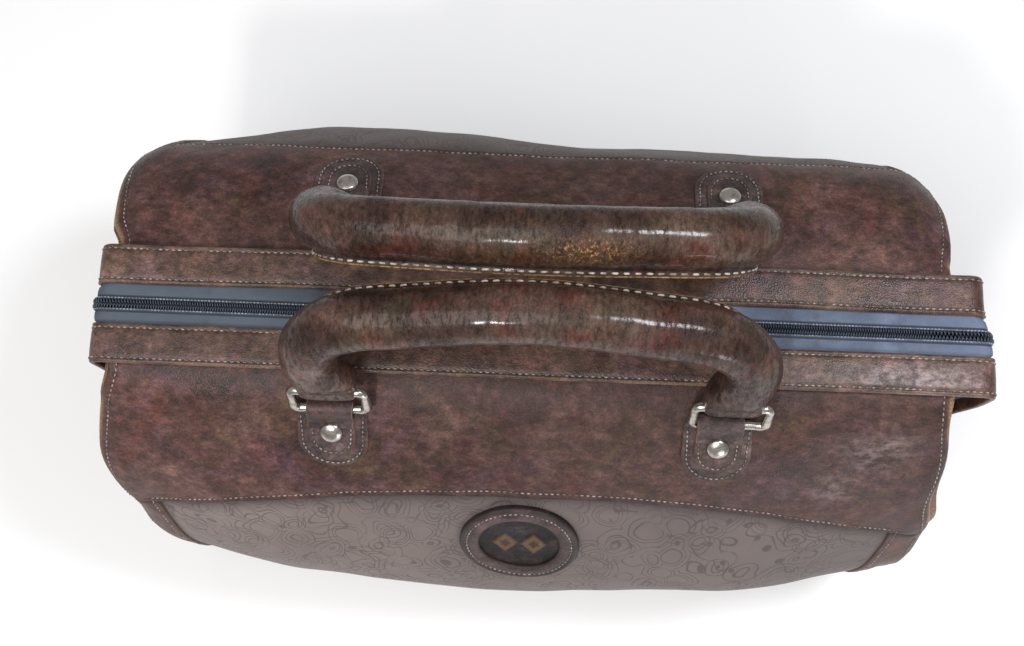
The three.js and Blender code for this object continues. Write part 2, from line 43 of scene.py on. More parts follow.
# camera, floor and light
studio = {
    "eye": (0.014, -0.155, 0.986),
    "turns": (("Y", 2.04), ("X", 12.17), ("Z", 2.67)),  # degrees, applied from the last to the first
    "focal": 1349 / 1024 * 36,  # for a 36 mm wide film
    "sky": (1.0, 1.0, 1.0, 1.0),
    "skyStrength": 0.42,
    "lamps": (  # name, place, aim, size, watts, tint
        ("rightWindow", (0.50, 0.08, 1.30), (0.15, -0.02, 0.25), 0.26, 7.0, (0.92, 0.94, 1.0)),
        ("frontLamp", (-0.22, -0.80, 1.30), (0.0, 0.0, 0.3), 0.14, 5.5, (1.0, 0.98, 0.97)),
        ("lowWindow", (0.58, -1.30, 0.26), (0.18, -0.1, 0.2), 0.34, 4.0, (0.92, 0.94, 1.0)),
        ("ceiling", (-0.45, -0.60, 1.85), (0.0, 0.0, 0.0), 1.5, 18.0, (1.0, 0.99, 0.98)),
    ),
}


def setStudio():
    turn = Matrix.Identity(4)
    for axis, degrees in studio["turns"]:
        turn = turn @ Matrix.Rotation(math.radians(degrees), 4, axis)
    lens = bpy.data.cameras.new("camera")
    lens.sensor_width = 36
    lens.lens = studio["focal"]
    lens.clip_start = 0.02
    camera = bpy.data.objects.new("camera", lens)
    camera.matrix_world = Matrix.Translation(studio["eye"]) @ turn
    bpy.context.scene.collection.objects.link(camera)
    bpy.context.scene.camera = camera
    world = bpy.data.worlds.new("studioSky")
    world.use_nodes = True
    world.node_tree.nodes["Background"].inputs["Color"].default_value = studio["sky"]
    world.node_tree.nodes["Background"].inputs["Strength"].default_value = studio["skyStrength"]
    bpy.context.scene.world = world
    for name, place, aim, size, watts, tint in studio["lamps"]:
        lamp = bpy.data.lights.new(name, "AREA")
        lamp.shape = "DISK"
        lamp.size = size
        lamp.energy = watts
        lamp.color = tint
        holder = bpy.data.objects.new(name, lamp)
        away = Matrix.Translation(place).to_translation() - Matrix.Translation(aim).to_translation()
        holder.matrix_world = Matrix.Translation(place) @ away.to_track_quat("Z", "Y").to_matrix().to_4x4()
        bpy.context.scene.collection.objects.link(holder)
    bpy.context.scene.view_settings.view_transform = "Standard"


setStudio()
print("studio ready")


# material maths
def tone(red, green, blue):
    # display colour, 0 to 255, to the linear colour that a shader takes
    parts = [c / 255 for c in (red, green, blue)]
    return tuple(p / 12.92 if p <= 0.04045 else ((p + 0.055) / 1.055) ** 2.4 for p in parts) + (1.0,)


class Wire:
    # an output socket that takes part in sums; every operator adds one Math node
    def __init__(self, paint, socket):
        self.paint = paint
        self.socket = socket

    def calc(self, operation, first, second=None):
        values = {0: first} if second is None else {0: first, 1: second}
        return self.paint.node("ShaderNodeMath", {"operation": operation}, values)

    def __add__(self, other):
        return self.calc("ADD", self, other)

    def __radd__(self, other):
        return self.calc("ADD", other, self)

    def __sub__(self, other):
        return self.calc("SUBTRACT", self, other)

    def __mul__(self, other):
        return self.calc("MULTIPLY", self, other)

    def __rmul__(self, other):
        return self.calc("MULTIPLY", other, self)

    def __abs__(self):
        return self.calc("ABSOLUTE", self)

    def sine(self):
        return self.calc("SINE", self)


class Paint:
    # one node material; node() makes any node from its type, its settings and its inputs
    def __init__(self, name):
        self.material = bpy.data.materials.new(name)
        self.material.use_nodes = True
        self.tree = self.material.node_tree
        self.tree.nodes.clear()

    def node(self, kind, settings=None, inputs=None, output=0):
        made = self.tree.nodes.new(kind)
        for key, value in (settings or {}).items():
            if key == "stops":
                self.setStops(made.color_ramp, value)
            else:
                setattr(made, key, value)
        for key, value in (inputs or {}).items():
            if isinstance(value, Wire):
                self.tree.links.new(value.socket, made.inputs[key])
            else:
                made.inputs[key].default_value = value
        return Wire(self, made.outputs[output]) if len(made.outputs) else None

    def setStops(self, ramp, stops):
        while len(ramp.elements) < len(stops):
            ramp.elements.new(0.5)
        for element, (at, color) in zip(ramp.elements, stops):
            element.position = at
            element.color = color

    def place(self, shift=(0, 0, 0), stretch=(1, 1, 1), source="Object"):
        coordinates = self.node("ShaderNodeTexCoord", output=source)
        return self.node("ShaderNodeMapping", {}, {0: coordinates, 1: shift, 3: stretch})

    def uv(self, axis):
        coordinates = self.node("ShaderNodeTexCoord", output="UV")
        return self.node("ShaderNodeSeparateXYZ", {}, {0: coordinates}, output=axis)

    def noise(self, where, scale, detail=3.0, rough=0.55, warp=0.0):
        inputs = {"Vector": where, "Scale": scale, "Detail": detail, "Roughness": rough, "Distortion": warp}
        return self.node("ShaderNodeTexNoise", {}, inputs)

    def cells(self, where, scale, feature="F1"):
        return self.node("ShaderNodeTexVoronoi", {"feature": feature}, {"Vector": where, "Scale": scale})

    def ramp(self, value, *stops):
        # grey or coloured stops: each is (at, level) or (at, colour)
        full = [(at, (c, c, c, 1.0) if isinstance(c, (int, float)) else c) for at, c in stops]
        return self.node("ShaderNodeValToRGB", {"stops": full}, {0: value})

    def clouded(self, value, look):
        # a look's low, middle and high tones along a noise
        levels = ((0.30, "low"), (0.50, "middle"), (0.70, "high"))
        return self.ramp(value, *[(at, tone(*look[level])) for at, level in levels])

    def fade(self, value, low, high, start=0.0, end=1.0):
        settings = {"interpolation_type": "SMOOTHSTEP", "clamp": True}
        return self.node("ShaderNodeMapRange", settings, {0: value, 1: low, 2: high, 3: start, 4: end})

    def mix(self, factor, first, second, blend="MIX"):
        settings = {"data_type": "RGBA", "blend_type": blend, "clamp_factor": True}
        return self.node("ShaderNodeMix", settings, {0: factor, 6: first, 7: second}, output=2)

    def mark(self, name):
        return self.node("ShaderNodeAttribute", {"attribute_name": name}, output="Fac")

    def finish(self, color, roughness, height=None, depth=0.0003, strength=0.4, **fixed):
        inputs = {"Base Color": color, "Roughness": roughness}
        inputs.update({key.replace("_", " "): value for key, value in fixed.items()})
        if height is not None:
            bumped = {"Height": height, "Strength": strength, "Distance": depth}
            inputs["Normal"] = self.node("ShaderNodeBump", {}, bumped)
        surface = self.node("ShaderNodeBsdfPrincipled", {}, inputs)
        self.node("ShaderNodeOutputMaterial", {}, {"Surface": surface})
        return self.material


brownLook = {
    "dark": (50, 34, 31),
    "middle": (72, 49, 44),
    "light": (88, 63, 57),
    "pale": (108, 82, 77),
    "red": (92, 52, 44),
    "mauve": (88, 62, 70),
    "olive": (78, 60, 42),
    "raw": (158, 130, 98),
    "blotchScale": 19.0,
    "grain": 1150.0,
    "roughness": (0.36, 0.60),
    "bump": 0.6,
    "shine": 0.24,
    "shift": (0.0, 0.0, 0.0),
}


def leatherPaint(name, look):
    # mottled leather: broad blotches, red and mauve stains, fine speckle, pebbled grain and rubbed raw edges
    paint = Paint(name)
    base = paint.place(look["shift"])
    blotch = paint.noise(base, look["blotchScale"], 6.0, 0.62, 0.4)
    color = paint.ramp(
        blotch,
        (0.30, tone(*look["dark"])),
        (0.46, tone(*look["middle"])),
        (0.58, tone(*look["light"])),
        (0.74, tone(*look["pale"])),
    )

    def stain(shift, scale, warp, low, high, most):
        return paint.fade(paint.noise(paint.place(shift), scale, 7.0, 0.72, warp), low, high, 0.0, most)

    redStain = stain((0.31, 0.12, 0.47), 38.0, 0.6, 0.46, 0.68, 0.75)
    mauveStain = stain((0.77, 0.41, 0.13), 31.0, 0.5, 0.48, 0.70, 0.60)
    oliveStain = stain((0.17, 0.63, 0.29), 35.0, 0.6, 0.48, 0.68, 0.70)
    color = paint.mix(redStain * 0.8, color, tone(*look["red"]))
    color = paint.mix(oliveStain, color, tone(*look["olive"]))
    color = paint.mix(mauveStain, color, tone(*look["mauve"]))
    patch = paint.noise(paint.place((0.5, 0.2, 0.4)), 105.0, 5.0, 0.70, 0.3)
    color = paint.mix(1.0, color, paint.ramp(patch, (0.30, 0.48), (0.50, 0.96), (0.70, 1.62)), "MULTIPLY")
    streak = paint.noise(paint.place((0.2, 0.5, 0.9), (0.6, 1.0, 1.0)), 300.0, 4.0, 0.70)
    color = paint.mix(1.0, color, paint.ramp(streak, (0.30, 0.55), (0.50, 0.98), (0.70, 1.50)), "MULTIPLY")
    speck = paint.noise(base, 900.0, 2.0, 0.6)
    color = paint.mix(0.9, color, paint.ramp(speck, (0.30, 0.66), (0.52, 1.0), (0.72, 1.34)), "MULTIPLY")
    # painted shade: broad darkening of the yokes
    color = paint.mix(paint.mark("handled") * 0.42, color, tone(34, 24, 22))
    # darkened by pressed stitch grooves and by painted shadow lines along lapped edges
    color = paint.mix(paint.mark("pressed") * 0.75, color, tone(34, 27, 26))
    rawTone = paint.mix(paint.fade(speck, 0.35, 0.65), tone(*look["raw"]), tone(104, 74, 48))
    color = paint.mix(paint.mark("raw"), color, rawTone)
    pebble = paint.cells(base, look["grain"])
    fold = paint.noise(paint.place((0.6, 0.3, 0.1), (0.7, 1.0, 1.0)), 210.0, 5.0, 0.6, 0.5)
    height = pebble * 0.35 + fold * 0.55 + speck * 0.25
    low, high = look["roughness"]
    roughness = paint.fade(blotch + 0.35 * streak, 0.45, 0.85, low, high)
    # rubbed places shine through a broken glaze
    glaze = paint.mark("worn") * paint.fade(streak + 0.4 * patch, 0.56, 0.86, 0.02, 0.42)
    return paint.finish(color, roughness, height, 0.0007, look["bump"], Specular_IOR_Level=look["shine"],
                        Coat_Weight=glaze, Coat_Roughness=0.28)


def gripPaint(name, look):
    # glazed leather: dark red brown with fine crosswise cracks, olive bloom on top and rubbed gold flecks
    paint = Paint(name)
    base = paint.place(look["shift"])
    blotch = paint.noise(base, 30.0, 5.0, 0.6, 0.6)
    color = paint.ramp(
        blotch,
        (0.30, tone(30, 19, 16)),
        (0.47, tone(54, 36, 29)),
        (0.60, tone(76, 54, 45)),
        (0.75, tone(100, 78, 70)),
    )
    redStain = paint.fade(paint.noise(paint.place((0.9, 0.2, 0.4)), 42.0, 4.0, 0.6), 0.50, 0.66, 0.0, 0.7)
    color = paint.mix(redStain, color, tone(80, 36, 28))
    olive = paint.fade(paint.noise(paint.place((0.4, 0.8, 0.2)), 24.0, 3.0, 0.5), 0.50, 0.68, 0.0, 0.55)
    color = paint.mix(olive, color, tone(72, 62, 46))
    across = paint.noise(paint.place((0.1, 0.3, 0.8), (1.0, 0.45, 0.45)), 420.0, 4.0, 0.65, 0.3)
    color = paint.mix(0.9, color, paint.ramp(across, (0.32, 0.45), (0.50, 1.0), (0.70, 1.60)), "MULTIPLY")
    cracks = paint.cells(paint.place((0.2, 0.6, 0.5), (1.0, 0.6, 0.6)), 430.0, "DISTANCE_TO_EDGE")
    crackLine = paint.fade(cracks, 0.0, 0.10, 1.0, 0.0)
    color = paint.mix(crackLine * 0.45, color, tone(30, 20, 18))
    worn = paint.mark("worn")
    fleck = paint.noise(paint.place((0.5, 0.5, 0.5), (1.0, 0.8, 0.8)), 700.0, 5.0, 0.8)
    color = paint.mix(worn * paint.fade(fleck, 0.52, 0.64), color, tone(168, 128, 72))
    color = paint.mix(paint.mark("pressed") * 0.8, color, tone(26, 21, 20))
    rawTone = paint.mix(paint.fade(across, 0.4, 0.6), tone(176, 140, 92), tone(96, 70, 44))
    color = paint.mix(paint.mark("raw"), color, rawTone)
    height = cracks * 0.8 + across * 0.8 + paint.noise(base, 1300.0, 2.0, 0.6) * 0.55
    roughness = paint.fade(across + 0.3 * blotch, 0.4, 0.9, 0.24, 0.50)
    coat = paint.fade(across + 0.4 * blotch, 0.55, 0.80, 0.02, 0.42)
    return paint.finish(
        color, roughness, height, 0.0006, 0.9, Coat_Weight=coat, Coat_Roughness=0.15, Specular_IOR_Level=0.14)


def canvasPaint(name, look):
    # coated cloth: fine weave under a grey mauve coat, printed with thin nested curls
    paint = Paint(name)
    base = paint.place(source="UV")
    cloud = paint.noise(base, 14.0, 4.0, 0.6)
    color = paint.clouded(cloud, look)
    lines = 0.0
    for shift, scale, bend, wide in look["curls"]:
        # rings round scattered points, bent by a slow noise
        slow = {"Vector": base, "Scale": look["bendScale"], "Detail": 1.0}
        spread = paint.node("ShaderNodeTexNoise", {}, slow, output=1)
        off = paint.node("ShaderNodeVectorMath", {"operation": "SUBTRACT"}, {0: spread, 1: (0.5, 0.5, 0.5)})
        off = paint.node("ShaderNodeVectorMath", {"operation": "SCALE"}, {0: off, 3: bend})
        started = paint.place(shift, source="UV")
        moved = paint.node("ShaderNodeVectorMath", {"operation": "ADD"}, {0: started, 1: off})
        petal = paint.cells(moved, scale)
        for level in look["levels"]:
            lines = lines + paint.fade(abs(petal - level), wide * 0.35, wide, 1.0, 0.0)
    breaks = paint.fade(paint.noise(base, 60.0, 2.0, 0.5), 0.36, 0.52, 0.35, 1.0)
    inked = paint.node("ShaderNodeMath", {"operation": "MINIMUM"}, {0: lines, 1: 1.0}) * breaks
    color = paint.mix(inked * look["ink"], color, tone(*look["line"]))
    across = (paint.uv("X") * (2 * math.pi / look["thread"])).sine()
    along = (paint.uv("Y") * (2 * math.pi / look["thread"])).sine()
    weave = across * along
    speck = paint.noise(base, 1500.0, 2.0, 0.6)
    color = paint.mix(0.55, color, paint.ramp(speck, (0.30, 0.82), (0.52, 1.0), (0.72, 1.16)), "MULTIPLY")
    # painted light and shade: lighter at the front's left, darker to its right and on the back
    color = paint.mix(1.0, color, paint.ramp(paint.mark("soiled"), (0.0, 1.17), (1.0, 0.70)), "MULTIPLY")
    # painted shadow under the yoke's edge and along the side edges, darkened
    color = paint.mix(paint.mark("pressed") * 0.7, color, tone(52, 44, 43))
    height = weave * 0.25 + speck * 0.5 + inked * -0.15 + paint.noise(base, 120.0, 4.0, 0.6) * 0.6
    roughness = paint.fade(cloud, 0.3, 0.7, 0.50, 0.66)
    return paint.finish(color, roughness, height, 0.0004, 0.45, Specular_IOR_Level=0.3)


def tapePaint(name, look):
    # woven tape: fine cords along its length, painted shade in the channel beside the coils, light stitch
    # line
    paint = Paint(name)
    base = paint.place(source="UV")
    side = abs(paint.uv("Y"))
    ribs = (side * (2 * math.pi / 0.00062)).sine()
    picks = (paint.uv("X") * (2 * math.pi / 0.0007)).sine()
    cloud = paint.noise(base, 30.0, 4.0, 0.6)
    color = paint.clouded(cloud, look)
    color = paint.mix(0.5, color, paint.ramp(ribs * 0.5 + 0.5, (0.0, 0.72), (1.0, 1.15)), "MULTIPLY")
    # painted shade: the tape is darker at its left end
    soiled = paint.fade(paint.uv("X"), 0.20, 0.52, 0.75, 0.0)
    color = paint.mix(soiled, color, tone(*look["soiled"]))
    # painted shade in the channel beside the coils
    channelShade = paint.fade(abs(side - 0.0042), 0.0003, 0.0009, 1.0, 0.0)
    color = paint.mix(channelShade * 0.85, color, tone(30, 35, 42))
    grime = paint.fade(paint.noise(base, 75.0, 5.0, 0.65), 0.5, 0.7, 0.0, 0.5)
    color = paint.mix(grime, color, tone(62, 66, 72))
    height = ribs * 0.5 + picks * 0.35
    return paint.finish(color, 0.78, height, 0.0002, 0.5)


def metalPaint(name, color, roughness):
    # plated metal: fine scuffs along one way, dull spots, darker in the worn places
    paint = Paint(name)
    scuff = paint.noise(paint.place(stretch=(0.2, 1.0, 1.0)), 1600.0, 4.0, 0.7)
    spots = paint.noise(paint.place((0.3, 0.1, 0.6)), 240.0, 3.0, 0.6)
    low, high = roughness
    tint = paint.mix(paint.fade(spots, 0.42, 0.72), tone(*color), tone(*[int(c * 0.72) for c in color]))
    rough = paint.fade(scuff * 0.6 + spots * 0.5, 0.35, 0.80, low, high)
    return paint.finish(tint, rough, scuff + spots, 0.0001, 0.12, Metallic=1.0)


def threadPaint(name, light, dark):
    # twisted thread: slanting plies, some of them soiled
    paint = Paint(name)
    soil = paint.noise(paint.place(), 160.0, 4.0, 0.65)
    color = paint.mix(paint.fade(soil, 0.38, 0.62), tone(*light), tone(*dark))
    plies = paint.noise(paint.place(stretch=(1.0, 0.4, 1.0)), 3800.0, 1.0, 0.5)
    return paint.finish(color, 0.72, plies, 0.0001, 0.5)


def plainPaint(name, low, high, roughness, scale):
    # cloth, board or rope that lies inside the bag
    paint = Paint(name)
    fibres = paint.noise(paint.place(stretch=(1.0, 0.3, 1.0)), scale, 4.0, 0.65)
    color = paint.ramp(fibres, (0.3, tone(*low)), (0.7, tone(*high)))
    return paint.finish(color, roughness, fibres, 0.0003, 0.4)


paints = {
    "yoke": leatherPaint("mottledLeather", brownLook),
    "strip": leatherPaint("stripLeather", dict(
        brownLook, dark=(52, 38, 32), middle=(72, 52, 44), light=(90, 67, 58), pale=(110, 86, 80),
        red=(96, 60, 48), olive=(82, 64, 46), blotchScale=26.0, shine=0.36, roughness=(0.30, 0.46),
        shift=(0.4, 0.7, 0.2))),
    "chape": leatherPaint("tabLeather", dict(
        brownLook, dark=(40, 34, 34), middle=(58, 48, 47), light=(74, 62, 61), pale=(96, 80, 79),
        red=(80, 54, 48), olive=(62, 52, 42), blotchScale=32.0, shift=(0.1, 0.9, 0.5))),
    "dark": leatherPaint("darkLeather", dict(
        brownLook, dark=(20, 18, 20), middle=(30, 26, 27), light=(42, 35, 34), pale=(60, 49, 45),
        red=(62, 44, 38), mauve=(44, 42, 50), olive=(48, 40, 32), raw=(128, 98, 66), blotchScale=46.0,
        shine=0.12, shift=(0.8, 0.2, 0.6))),
    "grip": gripPaint("glazedLeather", {"shift": (0.2, 0.0, 0.7)}),
    "canvas": canvasPaint("coatedCanvas", {
        "low": (96, 85, 82), "middle": (107, 96, 92), "high": (117, 106, 102), "line": (62, 53, 51),
        "curls": (((0.0, 0.0, 0.0), 56.0, 0.014, 0.024), ((0.37, 0.21, 0.0), 42.0, 0.017, 0.020)),
        "levels": (0.36, 0.46, 0.60),
        "bendScale": 42.0, "ink": 0.60, "thread": 0.0009}),
    "tape": tapePaint("wovenTape", {
        "low": (78, 87, 104), "middle": (96, 107, 128), "high": (112, 123, 146), "soiled": (66, 74, 80)}),
    "coil": plainPaint("coilNylon", (32, 38, 48), (56, 65, 79), 0.45, 900.0),
    "nickel": metalPaint("brushedNickel", (184, 176, 168), (0.16, 0.42)),
    "thread": threadPaint("paleThread", (152, 141, 133), (90, 79, 73)),
    "boldThread": threadPaint("handleThread", (186, 176, 164), (122, 110, 98)),
    "fineThread": threadPaint("zipThread", (150, 158, 170), (98, 106, 118)),
    "lining": plainPaint("liningCloth", (96, 80, 62), (120, 102, 82), 0.9, 500.0),
    "board": plainPaint("fibreBoard", (66, 54, 42), (86, 70, 56), 0.9, 300.0),
    "rope": plainPaint("ropeCore", (160, 146, 118), (198, 184, 154), 0.9, 700.0),
}
print("finishes mixed:", len(paints))


# mesh helpers, all in millimetres
def smooth(value):
    return value * value * (3 - 2 * value)


def ramped(value, low, high):
    return smooth(np.clip((np.asarray(value, float) - low) / (high - low), 0, 1))


def bell(value, middle, wide):
    # exp(-((value - middle) / wide)²)
    return np.exp(-((value - middle) / wide) ** 2)


def boxy(wave, power):
    # sign(w) |w|^power turns a circle's sine or cosine towards a square's
    return np.sign(wave) * np.abs(wave) ** power


def ripple(x, y, size, seed, waves=9):
    # sum of plane waves of about one size in seeded directions, from -1 to 1
    draw = np.random.default_rng(seed)
    angle = draw.uniform(0, 2 * np.pi, waves)
    pitch = 2 * np.pi / (size * draw.uniform(0.7, 1.5, waves))
    phase = draw.uniform(0, 2 * np.pi, waves)
    x, y = np.broadcast_arrays(np.asarray(x, float), np.asarray(y, float))
    total = np.zeros(x.shape)
    for a, p, f in zip(angle, pitch, phase):
        total += np.sin(p * (np.cos(a) * x + np.sin(a) * y) + f)
    return total / math.sqrt(waves) / 1.6


def gridFaces(rows, columns, wrapRows=False, wrapColumns=False, start=0):
    # quads of a grid of points numbered row by row; a wrapped direction joins its last line to its first
    r = np.arange(rows if wrapRows else rows - 1)[:, None]
    c = np.arange(columns if wrapColumns else columns - 1)[None, :]
    nextR, nextC = (r + 1) % rows, (c + 1) % columns
    quads = np.stack([
        r * columns + c + 0 * nextR, r * columns + nextC, nextR * columns + nextC, nextR * columns + c
    ], -1)
    return quads.reshape(-1, 4) + start


class Body:
    # points, quads and marks of one piece, gathered part by part
    # a quad that repeats a point is a triangle
    def __init__(self):
        self.points = []
        self.quads = []
        self.marks = []
        self.flat = []
        self.count = 0

    def add(self, points, quads, marks=None, flat=None):
        points = np.asarray(points, float).reshape(-1, 3)
        quads = turnedOut(points, np.asarray(quads, int))
        self.points.append(points)
        self.quads.append(quads + self.count)
        self.marks.append({key: np.asarray(value, float).reshape(-1) for key, value in (marks or {}).items()})
        flat = np.zeros((len(points), 2)) if flat is None else np.asarray(flat, float).reshape(-1, 2)
        self.flat.append(flat)
        self.count += len(points)


def turnedOut(points, quads):
    # the enclosed volume, six times over, is the sum over triangles of a . (b x c)
    # the faces turn round when it is below zero
    a, b, c, d = (points[quads[:, k]] for k in range(4))
    volume = np.sum(a * np.cross(b, c)) + np.sum(a * np.cross(c, d))
    return quads if volume > 0 else quads[:, ::-1]


def place(name, body, finish, rides, nodes=()):
    # puts a gathered body into one mesh: metres, smooth faces, a mark per point and the flat map in metres
    points = np.concatenate(body.points) * mm
    quads = np.concatenate(body.quads)
    mesh = bpy.data.meshes.new(name)
    triangle = (quads[:, 2] == quads[:, 3]) | (quads[:, 0] == quads[:, 1])
    first = np.where((quads[:, 0] == quads[:, 1])[:, None], quads[:, [1, 2, 3]], quads[:, [0, 1, 2]])
    sizes = np.where(triangle, 3, 4)
    starts = np.concatenate([[0], np.cumsum(sizes)[:-1]])
    corners = np.zeros(sizes.sum(), int)
    tri, quad = np.nonzero(triangle)[0], np.nonzero(~triangle)[0]
    corners[(starts[tri][:, None] + np.arange(3)).reshape(-1)] = first[tri].reshape(-1)
    corners[(starts[quad][:, None] + np.arange(4)).reshape(-1)] = quads[quad].reshape(-1)
    mesh.vertices.add(len(points))
    mesh.vertices.foreach_set("co", points.reshape(-1).astype(np.float32))
    mesh.loops.add(len(corners))
    mesh.loops.foreach_set("vertex_index", corners.astype(np.int32))
    mesh.polygons.add(len(sizes))
    mesh.polygons.foreach_set("loop_start", starts.astype(np.int32))
    mesh.polygons.foreach_set("use_smooth", np.ones(len(sizes), bool))
    mesh.update(calc_edges=True)
    for key in sorted({key for marks in body.marks for key in marks}):
        values = [marks.get(key, np.zeros(len(p))) for marks, p in zip(body.marks, body.points)]
        mark = mesh.attributes.new(key, "FLOAT", "POINT")
        mark.data.foreach_set("value", np.concatenate(values).astype(np.float32))
    flat = np.concatenate(body.flat)[corners] * mm
    mesh.uv_layers.new(name="flat").data.foreach_set("uv", flat.reshape(-1).astype(np.float32))
    mesh.validate()
    piece = bpy.data.objects.new(name, mesh)
    bpy.context.scene.collection.objects.link(piece)
    mesh.materials.append(paints[finish])
    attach(piece, rides)
    if nodes:
        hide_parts(*nodes)


def stations(span, step, near=(0.0, 0.12, 0.4, 0.85, 1.4), far=(0.0, 0.12, 0.4, 0.85, 1.4), extra=()):
    # places from 0 to 1 along a span in mm: close together at its two edges, about one step apart between
    inner = np.linspace(near[-1], span - far[-1], max(2, int(round((span - near[-1] - far[-1]) / step)) + 1))
    every = np.concatenate([near, inner, span - np.array(far), extra])
    return np.unique(np.round(every, 3)) / span


def sheetBody(body, surface, us, vs, low, high, spanU, spanV, lip, marks, flat, raw=(1, 1, 1, 1)):
    # thick sheet: surface(u, v, above) is its face, which falls away round its edges by a quarter circle,
    # lip - sqrt(lip² - (lip - d)²), where d is the distance from the nearest edge
    u, v = np.meshgrid(us, vs)
    edges = np.stack([u * spanU, (1 - u) * spanU, v * spanV, (1 - v) * spanV])
    inside = np.clip(lip - edges.min(0), 0, lip)
    fall = lip - np.sqrt(np.maximum(lip * lip - inside * inside, 0))
    top = surface(u, v, high - fall)
    base = surface(u, v, low + 0 * fall)
    rows, columns = u.shape
    rim = np.concatenate([
        np.arange(columns), columns * np.arange(1, rows) + columns - 1,
        columns * (rows - 1) + np.arange(columns - 2, -1, -1), columns * np.arange(rows - 2, 0, -1),
    ])
    after = np.roll(rim, -1)
    count = rows * columns
    # the wall has its own points so that its corner with the inner face stays sharp
    points = np.concatenate([top.reshape(-1, 3), base.reshape(-1, 3)])
    walls = np.stack([after, rim, rim + count, after + count], -1)
    quads = np.concatenate([gridFaces(rows, columns), gridFaces(rows, columns)[:, ::-1] + count, walls])
    nearest = np.argmin(edges, 0)
    rawHere = np.asarray(raw, float)[nearest] * np.clip(1.6 - edges.min(0) / 0.35, 0, 1)
    given = {key: np.concatenate([value.reshape(-1), 0 * value.reshape(-1)]) for key, value in marks.items()}
    rawHere = np.maximum(rawHere, marks.get("raw", 0))
    given["raw"] = np.concatenate([rawHere.reshape(-1), np.asarray(raw, float)[nearest].reshape(-1)])
    flatMap = flat.reshape(-1, 2)
    body.add(points, quads, given, np.concatenate([flatMap, flatMap]))


def patchBody(body, outline, surface, low, high, lip, steps=(), marks=None, raw=0.0):
    # flat patch of any round outline laid on a surface: rings shrink from the outline to its middle, and
    # the outer rings fall away by a quarter circle
    outline = np.asarray(outline, float)
    middle = outline.mean(0)
    reachOut = np.linalg.norm(outline - middle, axis=1)
    inwards = np.linspace(1.4, reachOut.min() * 0.93, 9)
    depths = np.unique(np.concatenate([[0, 0.1, 0.3, 0.6, 1.0], steps, inwards]))
    share = 1 - depths[:, None] / reachOut[None, :]
    flat = middle + (outline - middle)[None, :, :] * share[:, :, None]
    inside = np.clip(lip - depths, 0, lip)
    fall = lip - np.sqrt(np.maximum(lip * lip - inside * inside, 0))
    above = (high - fall)[:, None] + 0 * share
    if marks is not None:
        above = above + marks["dent"](flat[..., 0], flat[..., 1], depths[:, None] + 0 * share)
    top = surface(flat[..., 0], flat[..., 1], above)
    base = surface(outline[:, 0], outline[:, 1], low + 0 * reachOut)[None]
    hub = surface(middle[0], middle[1], np.array(above[-1].mean())).reshape(1, 3)
    under = surface(middle[0], middle[1], np.array(low)).reshape(1, 3)
    rings, count = share.shape
    points = np.concatenate([base.reshape(-1, 3), top.reshape(-1, 3), hub, under])
    quads = gridFaces(rings + 1, count, wrapColumns=True)
    last = rings * count
    a = np.arange(count)
    b = (a + 1) % count
    hubAt, underAt = len(points) - 2, len(points) - 1
    caps = np.stack([last + a, last + b, hubAt + 0 * a, hubAt + 0 * a], -1)
    floor = np.stack([b, a, underAt + 0 * a, underAt + 0 * a], -1)
    rawRings = np.repeat(raw * np.clip(1.3 - depths / 0.4, 0, 1), count)
    given = {"raw": np.concatenate([np.full(count, raw), rawRings, [0, 0]])}
    if marks is not None and "pressed" in marks:
        line = marks["pressed"](depths)
        given["pressed"] = np.concatenate([np.zeros(count), np.repeat(line, count), [0, 0]])
    allFlat = np.concatenate([outline, flat.reshape(-1, 2), middle[None], middle[None]])
    body.add(points, np.concatenate([quads, caps, floor]), given, allFlat)


def tubeBody(body, rings, closedPath=False, marks=None, flat=None):
    # rings of points (rings, around, 3) joined into a tube, each open end closed by a fan on its middle
    count, around = rings.shape[:2]
    points = rings.reshape(-1, 3)
    quads = [gridFaces(count, around, wrapRows=closedPath, wrapColumns=True)]
    extra = {}
    if not closedPath:
        points = np.concatenate([points, rings[0].mean(0)[None], rings[-1].mean(0)[None]])
        a = np.arange(around)
        b = (a + 1) % around
        first, last = count * around + 0 * a, count * around + 1 + 0 * a
        quads.append(np.stack([b, a, first, first], -1))
        quads.append(np.stack([(count - 1) * around + a, (count - 1) * around + b, last, last], -1))
    for key, value in (marks or {}).items():
        ends = [] if closedPath else [value[0].mean(), value[-1].mean()]
        extra[key] = np.concatenate([value.reshape(-1), ends])
    if flat is not None and not closedPath:
        flat = np.concatenate([flat.reshape(-1, 2), flat[0].mean(0)[None], flat[-1].mean(0)[None]])
    body.add(points, np.concatenate(quads), extra, flat)


def alongLine(points, pitch, start=0.0):
    # even stations along a polyline: places, directions and the share of the way
    points = np.asarray(points, float)
    steps = np.linalg.norm(np.diff(points, axis=0), axis=1)
    run = np.concatenate([[0], np.cumsum(steps)])
    at = np.arange(start + pitch / 2, run[-1], pitch)
    spot = np.stack([np.interp(at, run, points[:, k]) for k in range(3)], -1)
    ahead = np.stack([np.interp(at + 0.4, run, points[:, k]) for k in range(3)], -1)
    behind = np.stack([np.interp(at - 0.4, run, points[:, k]) for k in range(3)], -1)
    way = ahead - behind
    return spot, way / np.maximum(np.linalg.norm(way, axis=1), 1e-9)[:, None], at, run


